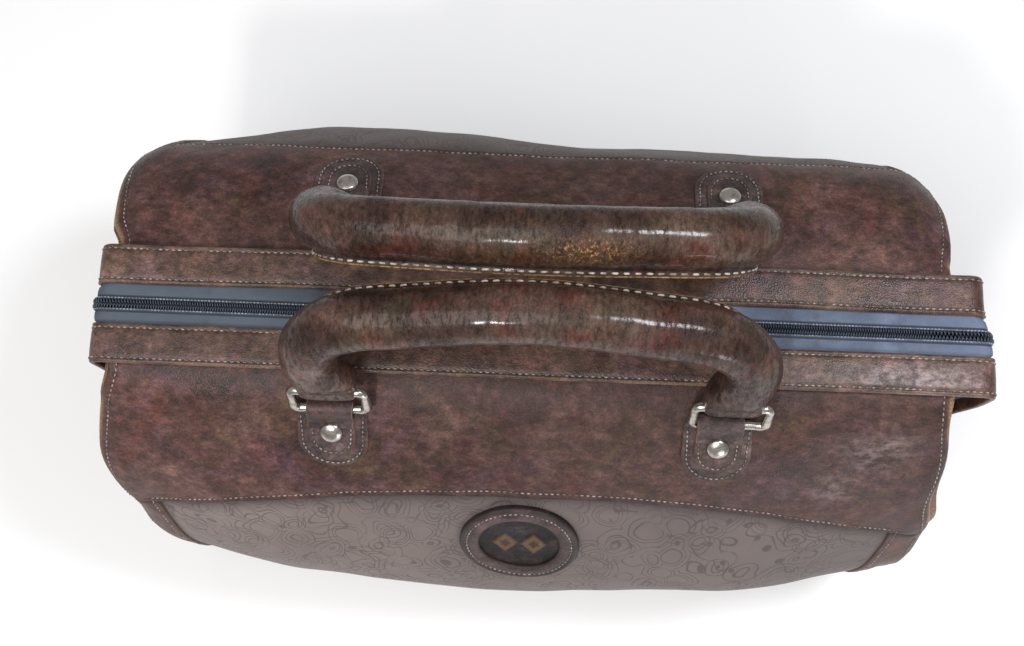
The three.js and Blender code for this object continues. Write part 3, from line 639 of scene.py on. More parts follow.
def sewRow(body, points, outwards, pitch, width, share=0.62, lift=0.15, seed=1):
    # a row of short stitches: each is a bead of four rings of six points, arched so that its ends dip in
    points = np.asarray(points, float)
    spot, way, at, run = alongLine(points, pitch)
    outwards = np.asarray(outwards, float)
    up = np.stack([np.interp(at, run, outwards[:, k]) for k in range(3)], -1)
    up -= way * np.sum(up * way, 1)[:, None]
    up /= np.linalg.norm(up, axis=1)[:, None]
    sideways = np.cross(way, up)
    draw = np.random.default_rng(seed)
    slant = draw.normal(0.0, 0.05, len(at))[:, None]
    way, sideways = way + sideways * slant, sideways - way * slant
    half = pitch * share / 2 * draw.uniform(0.92, 1.08, len(at))
    along = np.array([-1.0, -0.55, 0.55, 1.0])
    girth = np.array([0.35, 0.92, 0.92, 0.35])
    rise = np.array([-0.75, 0.1, 0.1, -0.75])
    turn = np.arange(6) * np.pi / 3
    height = lift + width / 2 * (rise[:, None] + girth[:, None] * np.sin(turn))
    aside = width / 2 * girth[:, None] * np.cos(turn)
    rings = (  # by stitch, ring, point and axis
        spot[:, None, None, :]
        + way[:, None, None, :] * (half[:, None, None, None] * along[None, :, None, None])
        + up[:, None, None, :] * height[None, :, :, None]
        + sideways[:, None, None, :] * aside[None, :, :, None]
    )
    total = len(at)
    each = gridFaces(4, 6, wrapColumns=True)
    lids = np.array([[5, 4, 3, 2], [5, 2, 1, 0], [18, 19, 20, 21], [18, 21, 22, 23]])
    each = np.concatenate([each, lids])
    quads = (each[None] + 24 * np.arange(total)[:, None, None]).reshape(-1, 4)
    # a bead at a time decides the way round, since all the beads are made alike
    one = rings[0].reshape(-1, 3)
    if not np.array_equal(turnedOut(one - one.mean(0), each), each):
        quads = quads[:, ::-1]
    body.points.append(rings.reshape(-1, 3))
    body.quads.append(quads + body.count)
    body.marks.append({})
    body.flat.append(np.zeros((total * 24, 2)))
    body.count += total * 24


# the bag's outer surface
shape = {
    "halfTop": 228.0,
    "half": 234.0,
    "flare": 60.0,
    "lean": 5.0,  # how far the soft ends have slid to the left, mm
    "stripOuter": 33.0,
    "corner": 28.0,
    "sag": 2.6,  # how far the soft faces give, mm
    "crease": 0.35,
}
outlines = {
    -1: [(12, 277.6), (33, 277.4), (48, 271.5), (64, 259), (80, 243), (94, 228.5), (108, 212), (121.5, 195),
         (133, 176.5), (140, 156), (142, 129), (139, 90), (132, 52), (122, 22), (113, 8.4)],
    1: [(12, 277.6), (33, 277.4), (50, 276), (68, 271.5), (86, 262.5), (100, 252), (112, 236), (121, 216),
        (129, 190), (134, 158), (137, 120), (136, 85), (130, 50), (121, 22), (113, 8.4)],
}


def cubic(start, end, first, second, t):
    # the cubic from start to end that has these two slopes there
    cube = 2 * start - 2 * end + first + second
    square = 3 * end - 3 * start - 2 * first - second
    return cube * t ** 3 + square * t ** 2 + first * t + start


def splineLine(knots, samples=600):
    # uniform Catmull-Rom curve through the knots, with its run length at every sample
    knots = np.asarray(knots, float)
    padded = np.vstack([knots[:1], knots, knots[-1:]])
    t = np.linspace(0, len(knots) - 1, samples + 1)
    i = np.minimum(t.astype(int), len(knots) - 2)
    f = (t - i)[:, None]
    a, b, c, d = (padded[i + k] for k in range(4))
    first, second = (c - a) / 2, (d - b) / 2
    line = cubic(b, c, first, second, f)
    run = np.concatenate([[0], np.cumsum(np.linalg.norm(np.diff(line, axis=0), axis=1))])
    return line, run


class Side:
    # one face of the bag: front is -1, back is 1
    def __init__(self, sign, bow, seamAt, seamDip, ringAt, belly):
        self.sign = sign
        self.belly = belly  # where the slack cloth stands out: middle and width along X, and how far
        self.bow = bow
        self.seamAt = seamAt
        self.seamDip = seamDip
        self.ringAt = ringAt
        self.line, self.run = splineLine(outlines[sign])
        self.length = self.run[-1]

    def seam(self, across):
        return self.seamAt + self.seamDip * np.abs(across) ** 2.2

    def canvasEdge(self, down):
        return 0.92 - 0.06 * np.clip((down - self.seamAt) / 120, 0, 1)

    def reach(self, y):
        return shape["halfTop"] + (shape["half"] - shape["halfTop"]) * smooth(
            np.clip((y - shape["stripOuter"]) / shape["flare"], 0, 1))

    def edge(self, down):
        return self.reach(np.interp(down, self.run, self.line[:, 0]))

    def bare(self, across, down):
        # outline in section at this girth, bowed in plan and rounded at its two upright corners
        fy = np.interp(down, self.run, self.line[:, 0])
        fz = np.interp(down, self.run, self.line[:, 1])
        edge = self.reach(fy)
        x = across * edge
        # the back corners hang round, most at the right; the front ones only below the yoke
        corner = shape["corner"] + np.where(x < 0, -7, 4)
        if self.sign < 0:
            corner = 13 + 12 * ramped(fy, 108, 134)
        into = np.clip((np.abs(x) - (edge - corner)) / corner, 0, 1) * 0.9
        drop = corner * (1 - np.sqrt(1 - into * into))
        flatTop = shape["stripOuter"]
        shoulder = np.clip((fy - flatTop) / 30, 0, 1)
        bowed = (fy - flatTop) * (1 - self.bow * np.abs(across) ** 2.2 * shoulder)
        y = np.where(fy <= flatTop, fy, flatTop + bowed - drop * shoulder)
        z = fz - 5 * across ** 6 * shoulder * smooth(np.clip(fz / 120, 0, 1))
        leaning = np.where(x > 0, ramped(fy, 6, flatTop), ramped(fy, flatTop, flatTop + 25))
        if self.sign < 0:
            leaning = leaning + ramped(fy, 50, 100) * np.where(x > 0, -1.5, 1.1)
            leaning = leaning + 1.8 * bell(fy, 95, 17) * (x > 0)
        x = x - shape["lean"] * np.abs(across) ** 3 * leaning
        return np.stack([x, self.sign * y, z], -1)

    def give(self, across, down):
        # how far the soft face stands out or in: long slack waves below the handles, small creases everywhere
        x = across * shape["half"]
        free = ramped(down, 70, 130) * (1 - ramped(down, self.length - 40, self.length))
        slack = shape["sag"] * ripple(x, 1.4 * down, 150, 11 + self.sign) * free * (1 - across ** 4)
        small = shape["crease"] * ripple(x, down, 34, 5 + self.sign) * ramped(down, 34, 60)
        middle, wide, most = self.belly
        low = ramped(down, 85, 165) * (1 - ramped(down, self.length - 70, self.length))
        belly = most * bell(x, middle, wide)
        if self.sign < 0:
            belly = belly - 9.5 * ramped(-across, 0.58, 0.95)
            belly = belly - 9.4 * ramped(across, 0.50, 0.93) * (1 - 0.5 * ramped(across, 0.93, 1.0))
        return slack + belly * low + small * (1 - 0.7 * ramped(down, self.length - 30, self.length))

    def normal(self, across, down):
        inner = np.clip(across, -0.985, 0.985)
        high = np.clip(down, 1.2, self.length - 1.2)
        alongX = self.bare(inner + 0.01, down) - self.bare(inner - 0.01, down)
        alongDown = self.bare(across, high + 1) - self.bare(across, high - 1)
        n = np.cross(alongDown, alongX) if self.sign < 0 else np.cross(alongX, alongDown)
        return n / np.linalg.norm(n, axis=-1)[..., None]

    def over(self, across, down, above):
        # a point held above the face, or under it for a negative distance
        across, down, above = np.broadcast_arrays(*(np.asarray(k, float) for k in (across, down, above)))
        lifted = above + self.give(across, down)
        return self.bare(across, down) + self.normal(across, down) * lifted[..., None]

    def overX(self, x, down, above):
        return self.over(np.asarray(x, float) / self.edge(down), down, above)


front = Side(-1, 0.15, 96, 46, 38, (20.0, 260.0, -3.8))
back = Side(1, 0.07, 100, 20, 46, (-105.0, 80.0, 9.0))
sides = ((front, "front"), (back, "back"))
threads = Body()  # pale stitches that belong to the bag's body


def sewFace(side, across, down, above, pitch, width, seed):
    # a row of stitches on a face, held above it
    sewRow(threads, side.over(across, down, above), side.normal(across, down), pitch, width, seed=seed)


# yokes, canvas panels and corner borders
yoke = {"low": -2.2, "high": 0.6, "lip": 1.3, "step": 5.0, "stitchIn": 4.2, "edgeStitch": 5.0, "pitch": 3.3}


def makeYoke(side, label):
    # leather from the zip band to the lapped seam: down = seam(across) times the place down the sheet
    body = Body()
    spanU, spanV = 2 * shape["half"], side.seamAt + 0.3 * side.seamDip
    edgeLines = np.array([2.0, 2.8, yoke["edgeStitch"]])
    us = stations(spanU, yoke["step"], extra=np.concatenate([edgeLines, spanU - edgeLines]))
    bySeam = (0.0, 0.12, 0.4, 0.85, 1.4, 2.4, 3.3, 4.2, 5.1, 6.2, 8.0, 10.5)
    vs = stations(spanV, yoke["step"], near=(0.0, 2.0, 4.0), far=bySeam)

    def surface(u, v, above):
        across = 2 * u - 1
        seam = side.seam(across) + 0.7
        down = seam * v
        fromSeam = seam - down
        groove = bell(fromSeam, yoke["stitchIn"], 1.1)
        sideIn = (1 - np.abs(across)) * shape["half"]
        edgeGroove = bell(sideIn, yoke["edgeStitch"], 1.2)
        wave = np.sin(across * shape["half"] * 2 * np.pi / 7.0)
        pucker = 0.16 * wave * bell(fromSeam, 5, 4.5)
        face = above > -1.5
        byCanvas = 1 - ramped(np.abs(across) - side.canvasEdge(seam), 0.012, 0.03)
        sunk = (0.45 * groove - pucker) * byCanvas + 0.4 * edgeGroove
        return side.over(across, down, above - np.where(face, sunk, 0))

    u, v = np.meshgrid(us, vs)
    across = 2 * u - 1
    fromSeam = (side.seam(across) + 0.7) * (1 - v)
    sideIn = (1 - np.abs(across)) * shape["half"]
    # the stitch grooves are pressed darker; a painted shadow darkens the lapped lower edge
    pressed = 0.55 * bell(fromSeam, yoke["stitchIn"], 0.9)
    pressed = pressed + 0.45 * bell(sideIn, yoke["edgeStitch"], 0.9)
    pressed = np.maximum(pressed, np.exp(-(fromSeam / 2.3) ** 2))
    byCanvas = 1 - ramped(np.abs(across) - side.canvasEdge(side.seam(across)), 0.012, 0.03)
    pressed = pressed * np.maximum(byCanvas, fromSeam > 12)
    # the cut ends are rubbed to the tan in patches, most of all at the back left
    rubbed = ramped(ripple(across * shape["half"], v * spanV, 36, 55 + side.sign), -0.5, 0.2)
    rubbed = np.maximum(rubbed, 0.9 * (across < 0) * (side.sign > 0)) * np.exp(-(sideIn / 2.1) ** 4)
    flat = np.stack([across * shape["half"], v * spanV], -1)
    # the front's right shoulder is polished by handling
    down = (side.seam(across) + 0.7) * v
    polished = np.exp(-((across - 0.80) / 0.10) ** 2 - ((down - 50) / 17) ** 2)
    polished = polished + 0.8 * np.exp(-((across - 0.73) / 0.06) ** 2 - ((down - 88) / 12) ** 2)
    # painted shade: darker between the handle's feet and to the right of them on the front, and across the
    # middle of the back
    handled = 0.75 * ramped(across, -0.5, 0.0) if side.sign < 0 else 0.2 + 0.8 * np.exp(-(across / 0.5) ** 2)
    marks = {"pressed": pressed, "raw": rubbed, "worn": polished * (side.sign < 0), "handled": handled}
    sheetBody(body, surface, us, vs, yoke["low"], yoke["high"], spanU, spanV, yoke["lip"],
              marks, flat, (1, 1, 0, 0))
    place(label + "Yoke", body, "yoke", "bag", [label + "_yoke"])
    # seam stitches along the lower edge and down both ends
    corner = side.canvasEdge(side.seam(0.91)) + 0.010
    across = np.linspace(-corner, corner, 240)
    down = side.seam(across) + 0.7 - yoke["stitchIn"]
    sewFace(side, across, down, yoke["high"] - 0.4, yoke["pitch"], 0.95, 3)
    for end in (-1, 1):
        down = np.linspace(3, side.seam(1.0) - 2, 90)
        across = end * (1 - yoke["edgeStitch"] / side.edge(down))
        sewFace(side, across, down, yoke["high"] - 0.35, yoke["pitch"], 0.9, 4)


canvas = {"low": -2.6, "high": -1.1, "under": 5.0, "step": 6.0}


def makeCanvas(side, label):
    # coated cloth from under the yoke down to the bottom edge, drawn in along its seams
    body = Body()
    spanU, spanV = 2 * 0.90 * shape["half"], side.length - side.seamAt + canvas["under"]
    us = stations(spanU, canvas["step"])
    vs = stations(spanV, canvas["step"], near=(0.0, 3.0, 5.5, 6.2, 7.4, 9.0, 12.0))

    def surface(u, v, above):
        across0 = 2 * u - 1
        top = side.seam(across0 * 0.91) - canvas["under"]
        down = top + (side.length - top) * v
        across = across0 * (side.canvasEdge(down) + 0.008)
        fromSeam = down - (side.seam(across) + 0.7)
        fromSide = (1 - np.abs(across0)) * spanU / 2
        drawn = 0.7 * np.exp(-(np.maximum(fromSeam, 0) / 5.0)) + 0.6 * np.exp(-(fromSide / 5.0))
        wave = np.sin(across * shape["half"] * 2 * np.pi / 9.0 + 0.7)
        pucker = 0.22 * wave * bell(fromSeam, 4, 7.0)
        face = above > -2.0
        return side.over(across, down, above + np.where(face, 0.5 - drawn + pucker, 0))

    u, v = np.meshgrid(us, vs)
    across0 = 2 * u - 1
    top = side.seam(across0 * 0.91) - canvas["under"]
    down = top + (side.length - top) * v
    across = across0 * (side.canvasEdge(down) + 0.008)
    fromSeam = down - (side.seam(across) + 0.7)
    fromSide = (1 - np.abs(across0)) * spanU / 2 - 1.9
    # painted shadow: darker just under the yoke's edge and along the side edges
    underYoke = np.exp(-(np.maximum(fromSeam, 0) / 6.5) ** 2)
    pressed = np.maximum(underYoke, np.exp(-(np.maximum(fromSide, 0) / 1.9) ** 2))
    # painted light and shade: lighter at the front's left, darker towards its right and all over the back
    soiled = np.interp(across, [-0.8, -0.1, 0.7], [0.0, 0.57, 0.79]) if side.sign < 0 else 1 + 0 * across
    flat = np.stack([across * shape["half"], down], -1)
    sheetBody(body, surface, us, vs, canvas["low"], canvas["high"], spanU, spanV, 0.6,
              {"pressed": pressed, "soiled": soiled}, flat, (0, 0, 0, 0))
    place(label + "Canvas", body, "canvas", "bag", [label + "_canvas_panel"])


border = {"low": -2.4, "high": 0.4, "lap": 1.6, "under": 5.0, "step": 5.0}


def makeBorder(side, label, end, word):
    # leather at the lower corners: from the canvas edge to the bag's edge, lapped over the canvas
    body = Body()
    spanU, spanV = 0.14 * shape["half"] * 1.2, side.length - side.seam(0.95) + border["under"]
    us = stations(spanU, 3.0, extra=(3.6, spanU - 5.0))
    vs = stations(spanV, border["step"], near=(0.0, 0.12, 0.4, 0.85, 1.4, 3.5, 4.4, 5.3, 6.3))

    def ends(u, v):
        top = side.seam(0.88 + 0.12 * u) - border["under"]
        down = top + (side.length - top) * v
        inner = side.canvasEdge(down) - border["lap"] / shape["half"]
        return inner + (1 - inner) * u, down

    def surface(u, v, above):
        across, down = ends(u, v)
        fromInner = (across - side.canvasEdge(down)) * shape["half"] + border["lap"]
        fromOuter = (1 - across) * shape["half"]
        groove = bell(fromInner, 3.6, 1.0) + bell(fromOuter, 5.0, 1.1)
        face = above > -1.5
        # it dives under the yoke's edge
        under = 1.6 * (1 - ramped(down - side.seam(across), -1.5, 1.2))
        return side.over(end * across, down, above - np.where(face, 0.4 * groove + under, 0))

    u, v = np.meshgrid(us, vs)
    across, down = ends(u, v)
    fromInner = (across - side.canvasEdge(down)) * shape["half"] + border["lap"]
    fromOuter = (1 - across) * shape["half"]
    pressed = 0.5 * bell(fromInner, 3.6, 0.9) + 0.45 * bell(fromOuter, 5, 0.9)
    # painted shadow: a dark line along the lapped inner edge
    pressed = np.maximum(pressed, np.exp(-(fromInner / 1.0) ** 2))
    flat = np.stack([across * shape["half"], down], -1)
    sheetBody(body, surface, us, vs, border["low"], border["high"], spanU, spanV, 1.1,
              {"pressed": pressed}, flat, (0.2, 1, 0, 0))
    place(label + word + "Border", body, "yoke", "bag", [label + "_" + word.lower() + "_border"])
    down = np.linspace(side.seam(0.9) - 2.5, side.length - 3, 110)
    across = side.canvasEdge(down) + (3.6 - border["lap"]) / shape["half"]
    sewFace(side, end * across, down, border["high"] - 0.3, yoke["pitch"], 0.9, 6)
    down = np.linspace(side.seam(1.0) + 3, side.length - 3, 110)
    across = 1 - 5.0 / side.edge(down)
    sewFace(side, end * across, down, border["high"] - 0.3, yoke["pitch"], 0.9, 7)


for side, label in sides:
    makeYoke(side, label)
    makeCanvas(side, label)
    makeBorder(side, label, -1, "Left")
    makeBorder(side, label, 1, "Right")
print("faces of the bag made")


# end panels and bottom
endPanel = {"inset": 4.5, "clear": 4.4, "thick": 2.4, "swell": 4.0, "flange": 8.5}


def makeEnd(end, label):
    # leather skin ruled between the front and back edges, swelling outwards; a turned flange is sewn under
    # each edge
    body = Body()

    def rim(side, v):
        down = 2 + (side.length - 4.5) * v
        across = end * (1 - endPanel["inset"] / side.edge(down))
        return side.over(across, down, -endPanel["clear"])

    def surface(u, v, above):
        a, b = rim(front, v), rim(back, v)
        point = a + (b - a) * u[..., None]
        fading = smooth(np.clip(3 * v, 0, 1)) * smooth(np.clip(3 - 3 * v, 0, 1))
        swell = endPanel["swell"] * np.sin(np.pi * u) * fading
        slack = 1.1 * ripple(260 * u, 270 * v, 90, 21 + end) * np.sin(np.pi * u) * ramped(v, 0.45, 0.7)
        middle = 1 - (2 * u - 1) ** 4  # the middle, behind the zip band, stays straight
        straight = end * (shape["half"] - endPanel["inset"])
        x = point[..., 0] * (1 - middle) + (straight + 0 * u) * middle
        point[..., 0] = x + end * (swell * (1 - 0.5 * middle) + above + slack * (above > -1))
        return point

    us, vs = stations(260, 6.0), stations(275, 6.0)
    flat = np.stack(np.meshgrid(260 * us, 275 * vs), -1)
    sheetBody(body, surface, us, vs, -endPanel["thick"], 0.0, 260, 275, 0.8, {}, flat, (0, 0, 0, 0))
    for side, _ in sides:
        # the front right one stands out furthest, below the shoulder
        more = 4.2 if end > 0 and side.sign < 0 else 0.0

        def flange(u, v, above, side=side, more=more):
            down = 2 + (side.length - 5) * v
            wider = more * bell(down, 118, 30)
            across = end * (1 - ((endPanel["flange"] + wider) * (1 - u) - 1.9 - wider) / side.edge(down))
            return side.over(across, down, above - 2.3)

        us, vs = stations(8.5, 1.0), stations(275, 5.0)
        flat = np.stack(np.meshgrid(8.5 * us, 275 * vs), -1)
        wide = bell(flat[..., 1], 118, 30) * (more > 0)
        patchy = ramped(ripple(0.3 * flat[..., 0], flat[..., 1], 50, 57 + end + side.sign), -0.6, 0.2)
        bareEdge = ramped(flat[..., 0], 5.8 - 2.0 * wide, 6.8 - 2.0 * wide) * np.maximum(patchy, wide)
        sheetBody(body, flange, us, vs, -1.7, 0.0, 8.5, 275, 0.5, {"raw": bareEdge}, flat, (0, 1, 0, 0))
    place(label + "EndPanel", body, "yoke", "bag", [label + "_end_panel"])


makeEnd(-1, "left")
makeEnd(1, "right")

bottom = {"underside": 5.0, "level": 8.2, "stitchIn": 5.0}


def makeBottom():
    # leather base ruled between the front and back lower edges, flat, sewn along the front and back
    body = Body()

    def surface(u, v, above):
        across = 0.9985 * (2 * u - 1)
        a, b = front.bare(across, front.length), back.bare(across, back.length)
        point = a + (b - a) * (0.001 + 0.998 * v)[..., None]
        point[..., 2] = bottom["level"] - above
        return point

    spanX, spanY = 2 * shape["half"], 226
    us, vs = stations(spanX, 8.0), stations(spanY, 8.0)
    flat = np.stack(np.meshgrid(spanX * us, spanY * vs), -1)
    sheetBody(body, surface, us, vs, 0.2, 3.2, spanX, spanY, 1.2, {}, flat, (0, 0, 0, 0))
    place("bottomLeather", body, "dark", "bag", ["bottom_panel"])
    for side, _ in sides:
        across = np.linspace(-0.955, 0.955, 240)
        line = side.bare(across, side.length)
        line[:, 1] -= side.sign * bottom["stitchIn"]
        line[:, 2] = bottom["underside"] - 0.05
        sewRow(threads, line, np.tile([0.0, 0, -1], (240, 1)), 3.3, 0.9, seed=8)


makeBottom()

lining = {"outer": 6.6, "inner": 7.8, "mouth": 10.0, "ends": 0.055}


def makeLining():
    # sewn cloth bag inside the faces: rings run out over the floor, up the outer wall to the mouth, down the
    # inner wall and in again
    share = np.linspace(0, 1, 46)[:, None]
    across = np.linspace(-1, 1, 65)[None, :] * (1 - lining["ends"])
    shrunk = np.linspace(0.04, 0.96, 12)[:, None, None]

    def wall(inset):
        halves = []
        for side, _ in sides:
            down = lining["mouth"] + (side.length - lining["mouth"] - inset) * share
            halves.append(side.over(-side.sign * across, down, -inset))
        rings = np.concatenate(halves, 1)
        middle = rings[-1].mean(0)
        return np.concatenate([rings, middle + (rings[-1] - middle) * shrunk[::-1]])

    body = Body()
    tubeBody(body, np.concatenate([wall(lining["outer"])[::-1], wall(lining["inner"])]))
    place("liningBag", body, "lining", "bag", ["lining"])


makeLining()

foot = {"across": 165.0, "along": 72.0, "places": ((-1, -1), (1, -1), (-1, 1), (1, 1))}


def turnedBody(body, profile, around, toWorld):
    # profile of (radius, height) pairs turned about an axis; toWorld places the points
    profile = np.asarray(profile, float)
    angle = np.arange(around) * 2 * np.pi / around
    rings = np.stack([
        profile[:, :1] * np.cos(angle), profile[:, :1] * np.sin(angle), profile[:, 1:] + 0 * angle
    ], -1)
    tubeBody(body, toWorld(rings))


def roundedProfile(knots, samples=5):
    # quadratic roundings at the inner corners of a (radius, height) outline
    knots = np.asarray(knots, float)
    out = [knots[0]]
    t = np.linspace(0, 1, samples)[:, None]
    for a, b, c in zip(knots[:-2], knots[1:-1], knots[2:]):
        start, end = b + (a - b) * 0.35, b + (c - b) * 0.35
        out.extend((1 - t) ** 2 * start + 2 * t * (1 - t) * b + t ** 2 * end)
    out.append(knots[-1])
    return np.array(out)


for x, y in foot["places"]:
    body = Body()
    profile = roundedProfile([(0.4, 0.05), (4.6, 0.15), (6.8, 1.1), (7.5, 2.6), (7.5, 4.7), (0.5, 4.7)])
    middle = np.array([foot["across"] * x, foot["along"] * y, 0])
    turnedBody(body, profile, 28, lambda p, middle=middle: p + middle)
    word = ("front" if y < 0 else "back", "left" if x < 0 else "right")
    place(word[0] + word[1].title() + "Foot", body, "nickel", "bag", [word[0] + "_" + word[1] + "_foot"])
print("ends and bottom made")


# zip band
band = {
    "top": 282.6, "end": 238.0, "drop": 118.0, "bend": 9.0, "inner": 11.0, "outer": 33.0, "thick": 3.4,
    "stitchIn": 2.7, "pitch": 3.5,
}


def bandLine(step, depth=0.0, foot=0.0):
    # the band seen from the front: up one end, round a bend, along the top, and down the other end
    # gives x, z, the outward direction and the run length at every station
    end, top, bend = band["end"] - depth, band["top"] - depth, band["bend"] - depth
    low = band["top"] - band["drop"] + foot
    rise = np.arange(low, top - bend, step)
    arc = np.linspace(0, np.pi / 2, 9)
    half = end - bend
    flatRun = np.linspace(-half, half, int(2 * half / step))[1:-1]
    x = np.concatenate([np.full(len(rise), -end), -half - bend * np.cos(arc), flatRun])
    z = np.concatenate([rise, top - bend + bend * np.sin(arc), np.full(len(flatRun), top)])
    nx = np.concatenate([np.full(len(rise), -1.0), -np.cos(arc), np.zeros(len(flatRun))])
    nz = np.concatenate([np.zeros(len(rise)), np.sin(arc), np.ones(len(flatRun))])
    keep = len(rise) + len(arc)
    x = np.concatenate([x, -x[:keep][::-1]])
    z = np.concatenate([z, z[:keep][::-1]])
    nx = np.concatenate([nx, -nx[:keep][::-1]])
    nz = np.concatenate([nz, nz[:keep][::-1]])
    run = np.concatenate([[0], np.cumsum(np.hypot(np.diff(x), np.diff(z)))])
    return x, z, nx, nz, run


def bulged(points):
    # the bends stand out over the ends, most at the front right, and the tape is level with the strips there
    x, y, z = points[..., 0], points[..., 1], points[..., 2]
    frontness = 1 - ramped(y, -14, 22)
    most = np.where(x > 0, 2.5 + 5.5 * frontness, 1.2 * frontness) + 3.8 * (1 - ramped(np.abs(y), 8, 13))
    out = points.copy()
    out[..., 0] += np.sign(x) * most * ramped(np.abs(x), 206, 236) * ramped(z, 200, 262)
    return out


def bandSweep(line, across, height):
    # carries a profile (distance across, height over the line) along the band
    x, z, nx, nz, run = line
    y = across[None, :] + 0 * x[:, None]
    return bulged(np.stack([x[:, None] + nx[:, None] * height, y, z[:, None] + nz[:, None] * height], -1))


def makeStrip(sign, label):
    # folded leather strip: a flat oval profile with two sunk sewing lines, waving a little
    body = Body()
    line = bandLine(4.0)
    run = line[4]
    inner, outer, thick = band["inner"], band["outer"], band["thick"]
    turn = np.linspace(0, np.pi, 7)
    lowEdge = np.stack([inner + 1.5 - 1.5 * np.sin(turn), -thick / 2 - thick / 2 * np.cos(turn)], -1)
    topY = np.concatenate([[inner + 1.9, inner + 2.3, inner + 2.7, inner + 3.1, inner + 3.6],
                           np.linspace(inner + 5, outer - 5, 7),
                           [outer - 3.6, outer - 3.1, outer - 2.7, outer - 2.3, outer - 1.9]])
    highEdge = np.stack([outer - 1.5 + 1.5 * np.sin(turn), -thick / 2 + thick / 2 * np.cos(turn)], -1)
    dents = np.exp(-((topY - inner - band["stitchIn"]) / 0.7) ** 2)
    dents = dents + np.exp(-((topY - outer + band["stitchIn"]) / 0.7) ** 2)
    crown = 0.35 * np.sin(np.pi * (topY - inner) / (outer - inner))
    top = np.stack([topY, crown - 0.45 * dents], -1)
    under = np.stack([np.linspace(outer - 4, inner + 4, 4), np.full(4, -thick)], -1)
    profile = np.concatenate([lowEdge, top, highEdge, under])
    wave = 0.45 * ripple(run, 0 * run, 120, 31 + sign)
    lift = 0.22 * ripple(run, 0 * run, 60, 35 + sign)
    rings = bandSweep(line, sign * profile[:, 0], profile[None, :, 1] + lift[:, None])
    rings[..., 1] += wave[:, None]
    pressedRow = np.concatenate([np.zeros(7), 0.6 * dents, np.zeros(7), np.zeros(4)])
    rawRow = np.concatenate([0.25 * np.sin(turn), np.zeros(len(topY)), 0.55 * np.sin(turn), np.zeros(4)])
    patchy = ramped(ripple(run, 0 * run, 45, 77 + sign), -0.1, 0.5)
    endRaw = np.maximum(np.exp(-run / 1.2), np.exp(-(run[-1] - run) / 1.2))
    raw = np.maximum(rawRow[None, :] * patchy[:, None], endRaw[:, None])
    pressed = pressedRow[None, :] + 0 * run[:, None]
    flat = np.stack(np.broadcast_arrays(run[:, None], profile[None, :, 0]), -1)
    polished = bell(rings[..., 0], 200, 45) * (sign < 0)
    tubeBody(body, rings, marks={"pressed": pressed, "raw": raw, "worn": polished}, flat=flat)
    place(label + "ZipStrip", body, "strip", "bag", [label + "_zip_strip"])
    fine = bandLine(1.5)
    for y in (inner + band["stitchIn"], outer - band["stitchIn"]):
        row = bandSweep(fine, np.array([sign * y]), np.interp(fine[4], run, lift)[:, None] - 0.05)[:, 0]
        row[:, 1] += np.interp(fine[4], run, wave)
        up = np.stack([fine[2], 0 * fine[2], fine[3]], -1)
        sewRow(threads, row[2:-2], up[2:-2], band["pitch"], 1.05, 0.6, seed=int(40 + y + sign))


tape = {"depth": 4.0, "rowAt": 3.1}
zipThreads = Body()


def makeTape(sign, label):
    # woven tape beside the coil: thin, with a raised cord next to the coil and a channel outside it
    body = Body()
    line = bandLine(6.0, tape["depth"], 5.0)
    run = line[4]
    y = np.array([2.35, 2.4, 2.7, 3.1, 3.5, 3.9, 4.2, 4.5, 5.0, 7.0, 9.0, 11.5, 14.0, 20.0, 26.0])
    bumps = 0.55 * bell(y, 3.1, 0.55) - 0.25 * bell(y, 4.2, 0.35)
    bumps[0] = -0.4
    top = np.stack([y, bumps + 0.3], -1)
    under = np.stack([y[::-1][[0, 4, 10, 14]], np.full(4, -0.5)], -1)
    profile = np.concatenate([top, under])
    rings = bandSweep(line, sign * profile[:, 0], profile[None, :, 1] + 0 * run[:, None])
    flat = np.stack(np.broadcast_arrays(run[:, None], profile[None, :, 0]), -1)
    tubeBody(body, rings, flat=flat)
    place(label + "ZipTape", body, "tape", "bag", [label + "_zip_tape"])
    fine = bandLine(1.5, tape["depth"], 6.0)
    row = bandSweep(fine, np.array([sign * tape["rowAt"]]), np.full((len(fine[0]), 1), 0.80))[:, 0]
    up = np.stack([fine[2], 0 * fine[2], fine[3]], -1)
    sewRow(zipThreads, row, up, 1.9, 0.85, 0.7, 0.1, seed=50 + sign)


coil = {"pitch": 1.35, "wire": 0.42, "turnPoints": 8, "around": 5}


def makeCoil(sign, label):
    # one nylon thread wound in flat loops: a helix whose section is an oval across the zip
    body = Body()
    line = bandLine(3.0, 3.2, 5.0)
    x, z, nx, nz, run = line
    turns = int(run[-1] / coil["pitch"])
    t = np.linspace(0, turns, turns * coil["turnPoints"] + 1)
    at = t / turns * run[-1]
    phase = 2 * np.pi * t + (np.pi if sign > 0 else 0)
    y = sign * (1.32 + 1.22 * np.cos(phase))
    height = 0.05 + 0.75 * np.sin(phase)
    px, pz = np.interp(at, run, x), np.interp(at, run, z)
    ax, az = np.interp(at, run, nx), np.interp(at, run, nz)
    size = np.hypot(ax, az)
    ax, az = ax / size, az / size
    path = bulged(np.stack([px + ax * height, y, pz + az * height], -1))
    way = np.gradient(path, axis=0)
    way /= np.linalg.norm(way, axis=1)[:, None]
    forward = np.stack([az, 0 * az, -ax], -1)
    one = np.cross(way, forward)
    one /= np.linalg.norm(one, axis=1)[:, None]
    two = np.cross(way, one)
    angle = np.arange(coil["around"]) * 2 * np.pi / coil["around"]
    c, s = np.cos(angle)[:, None], np.sin(angle)[:, None]
    rings = path[:, None] + coil["wire"] * (one[:, None] * c + two[:, None] * s)
    tubeBody(body, rings)
    place(label + "ZipCoil", body, "coil", "bag", [label + "_zip_coil"])


for sign, label in ((-1, "front"), (1, "back")):
    makeStrip(sign, label)
    makeTape(sign, label)
    makeCoil(sign, label)
place("zipStitches", zipThreads, "fineThread", "bag")


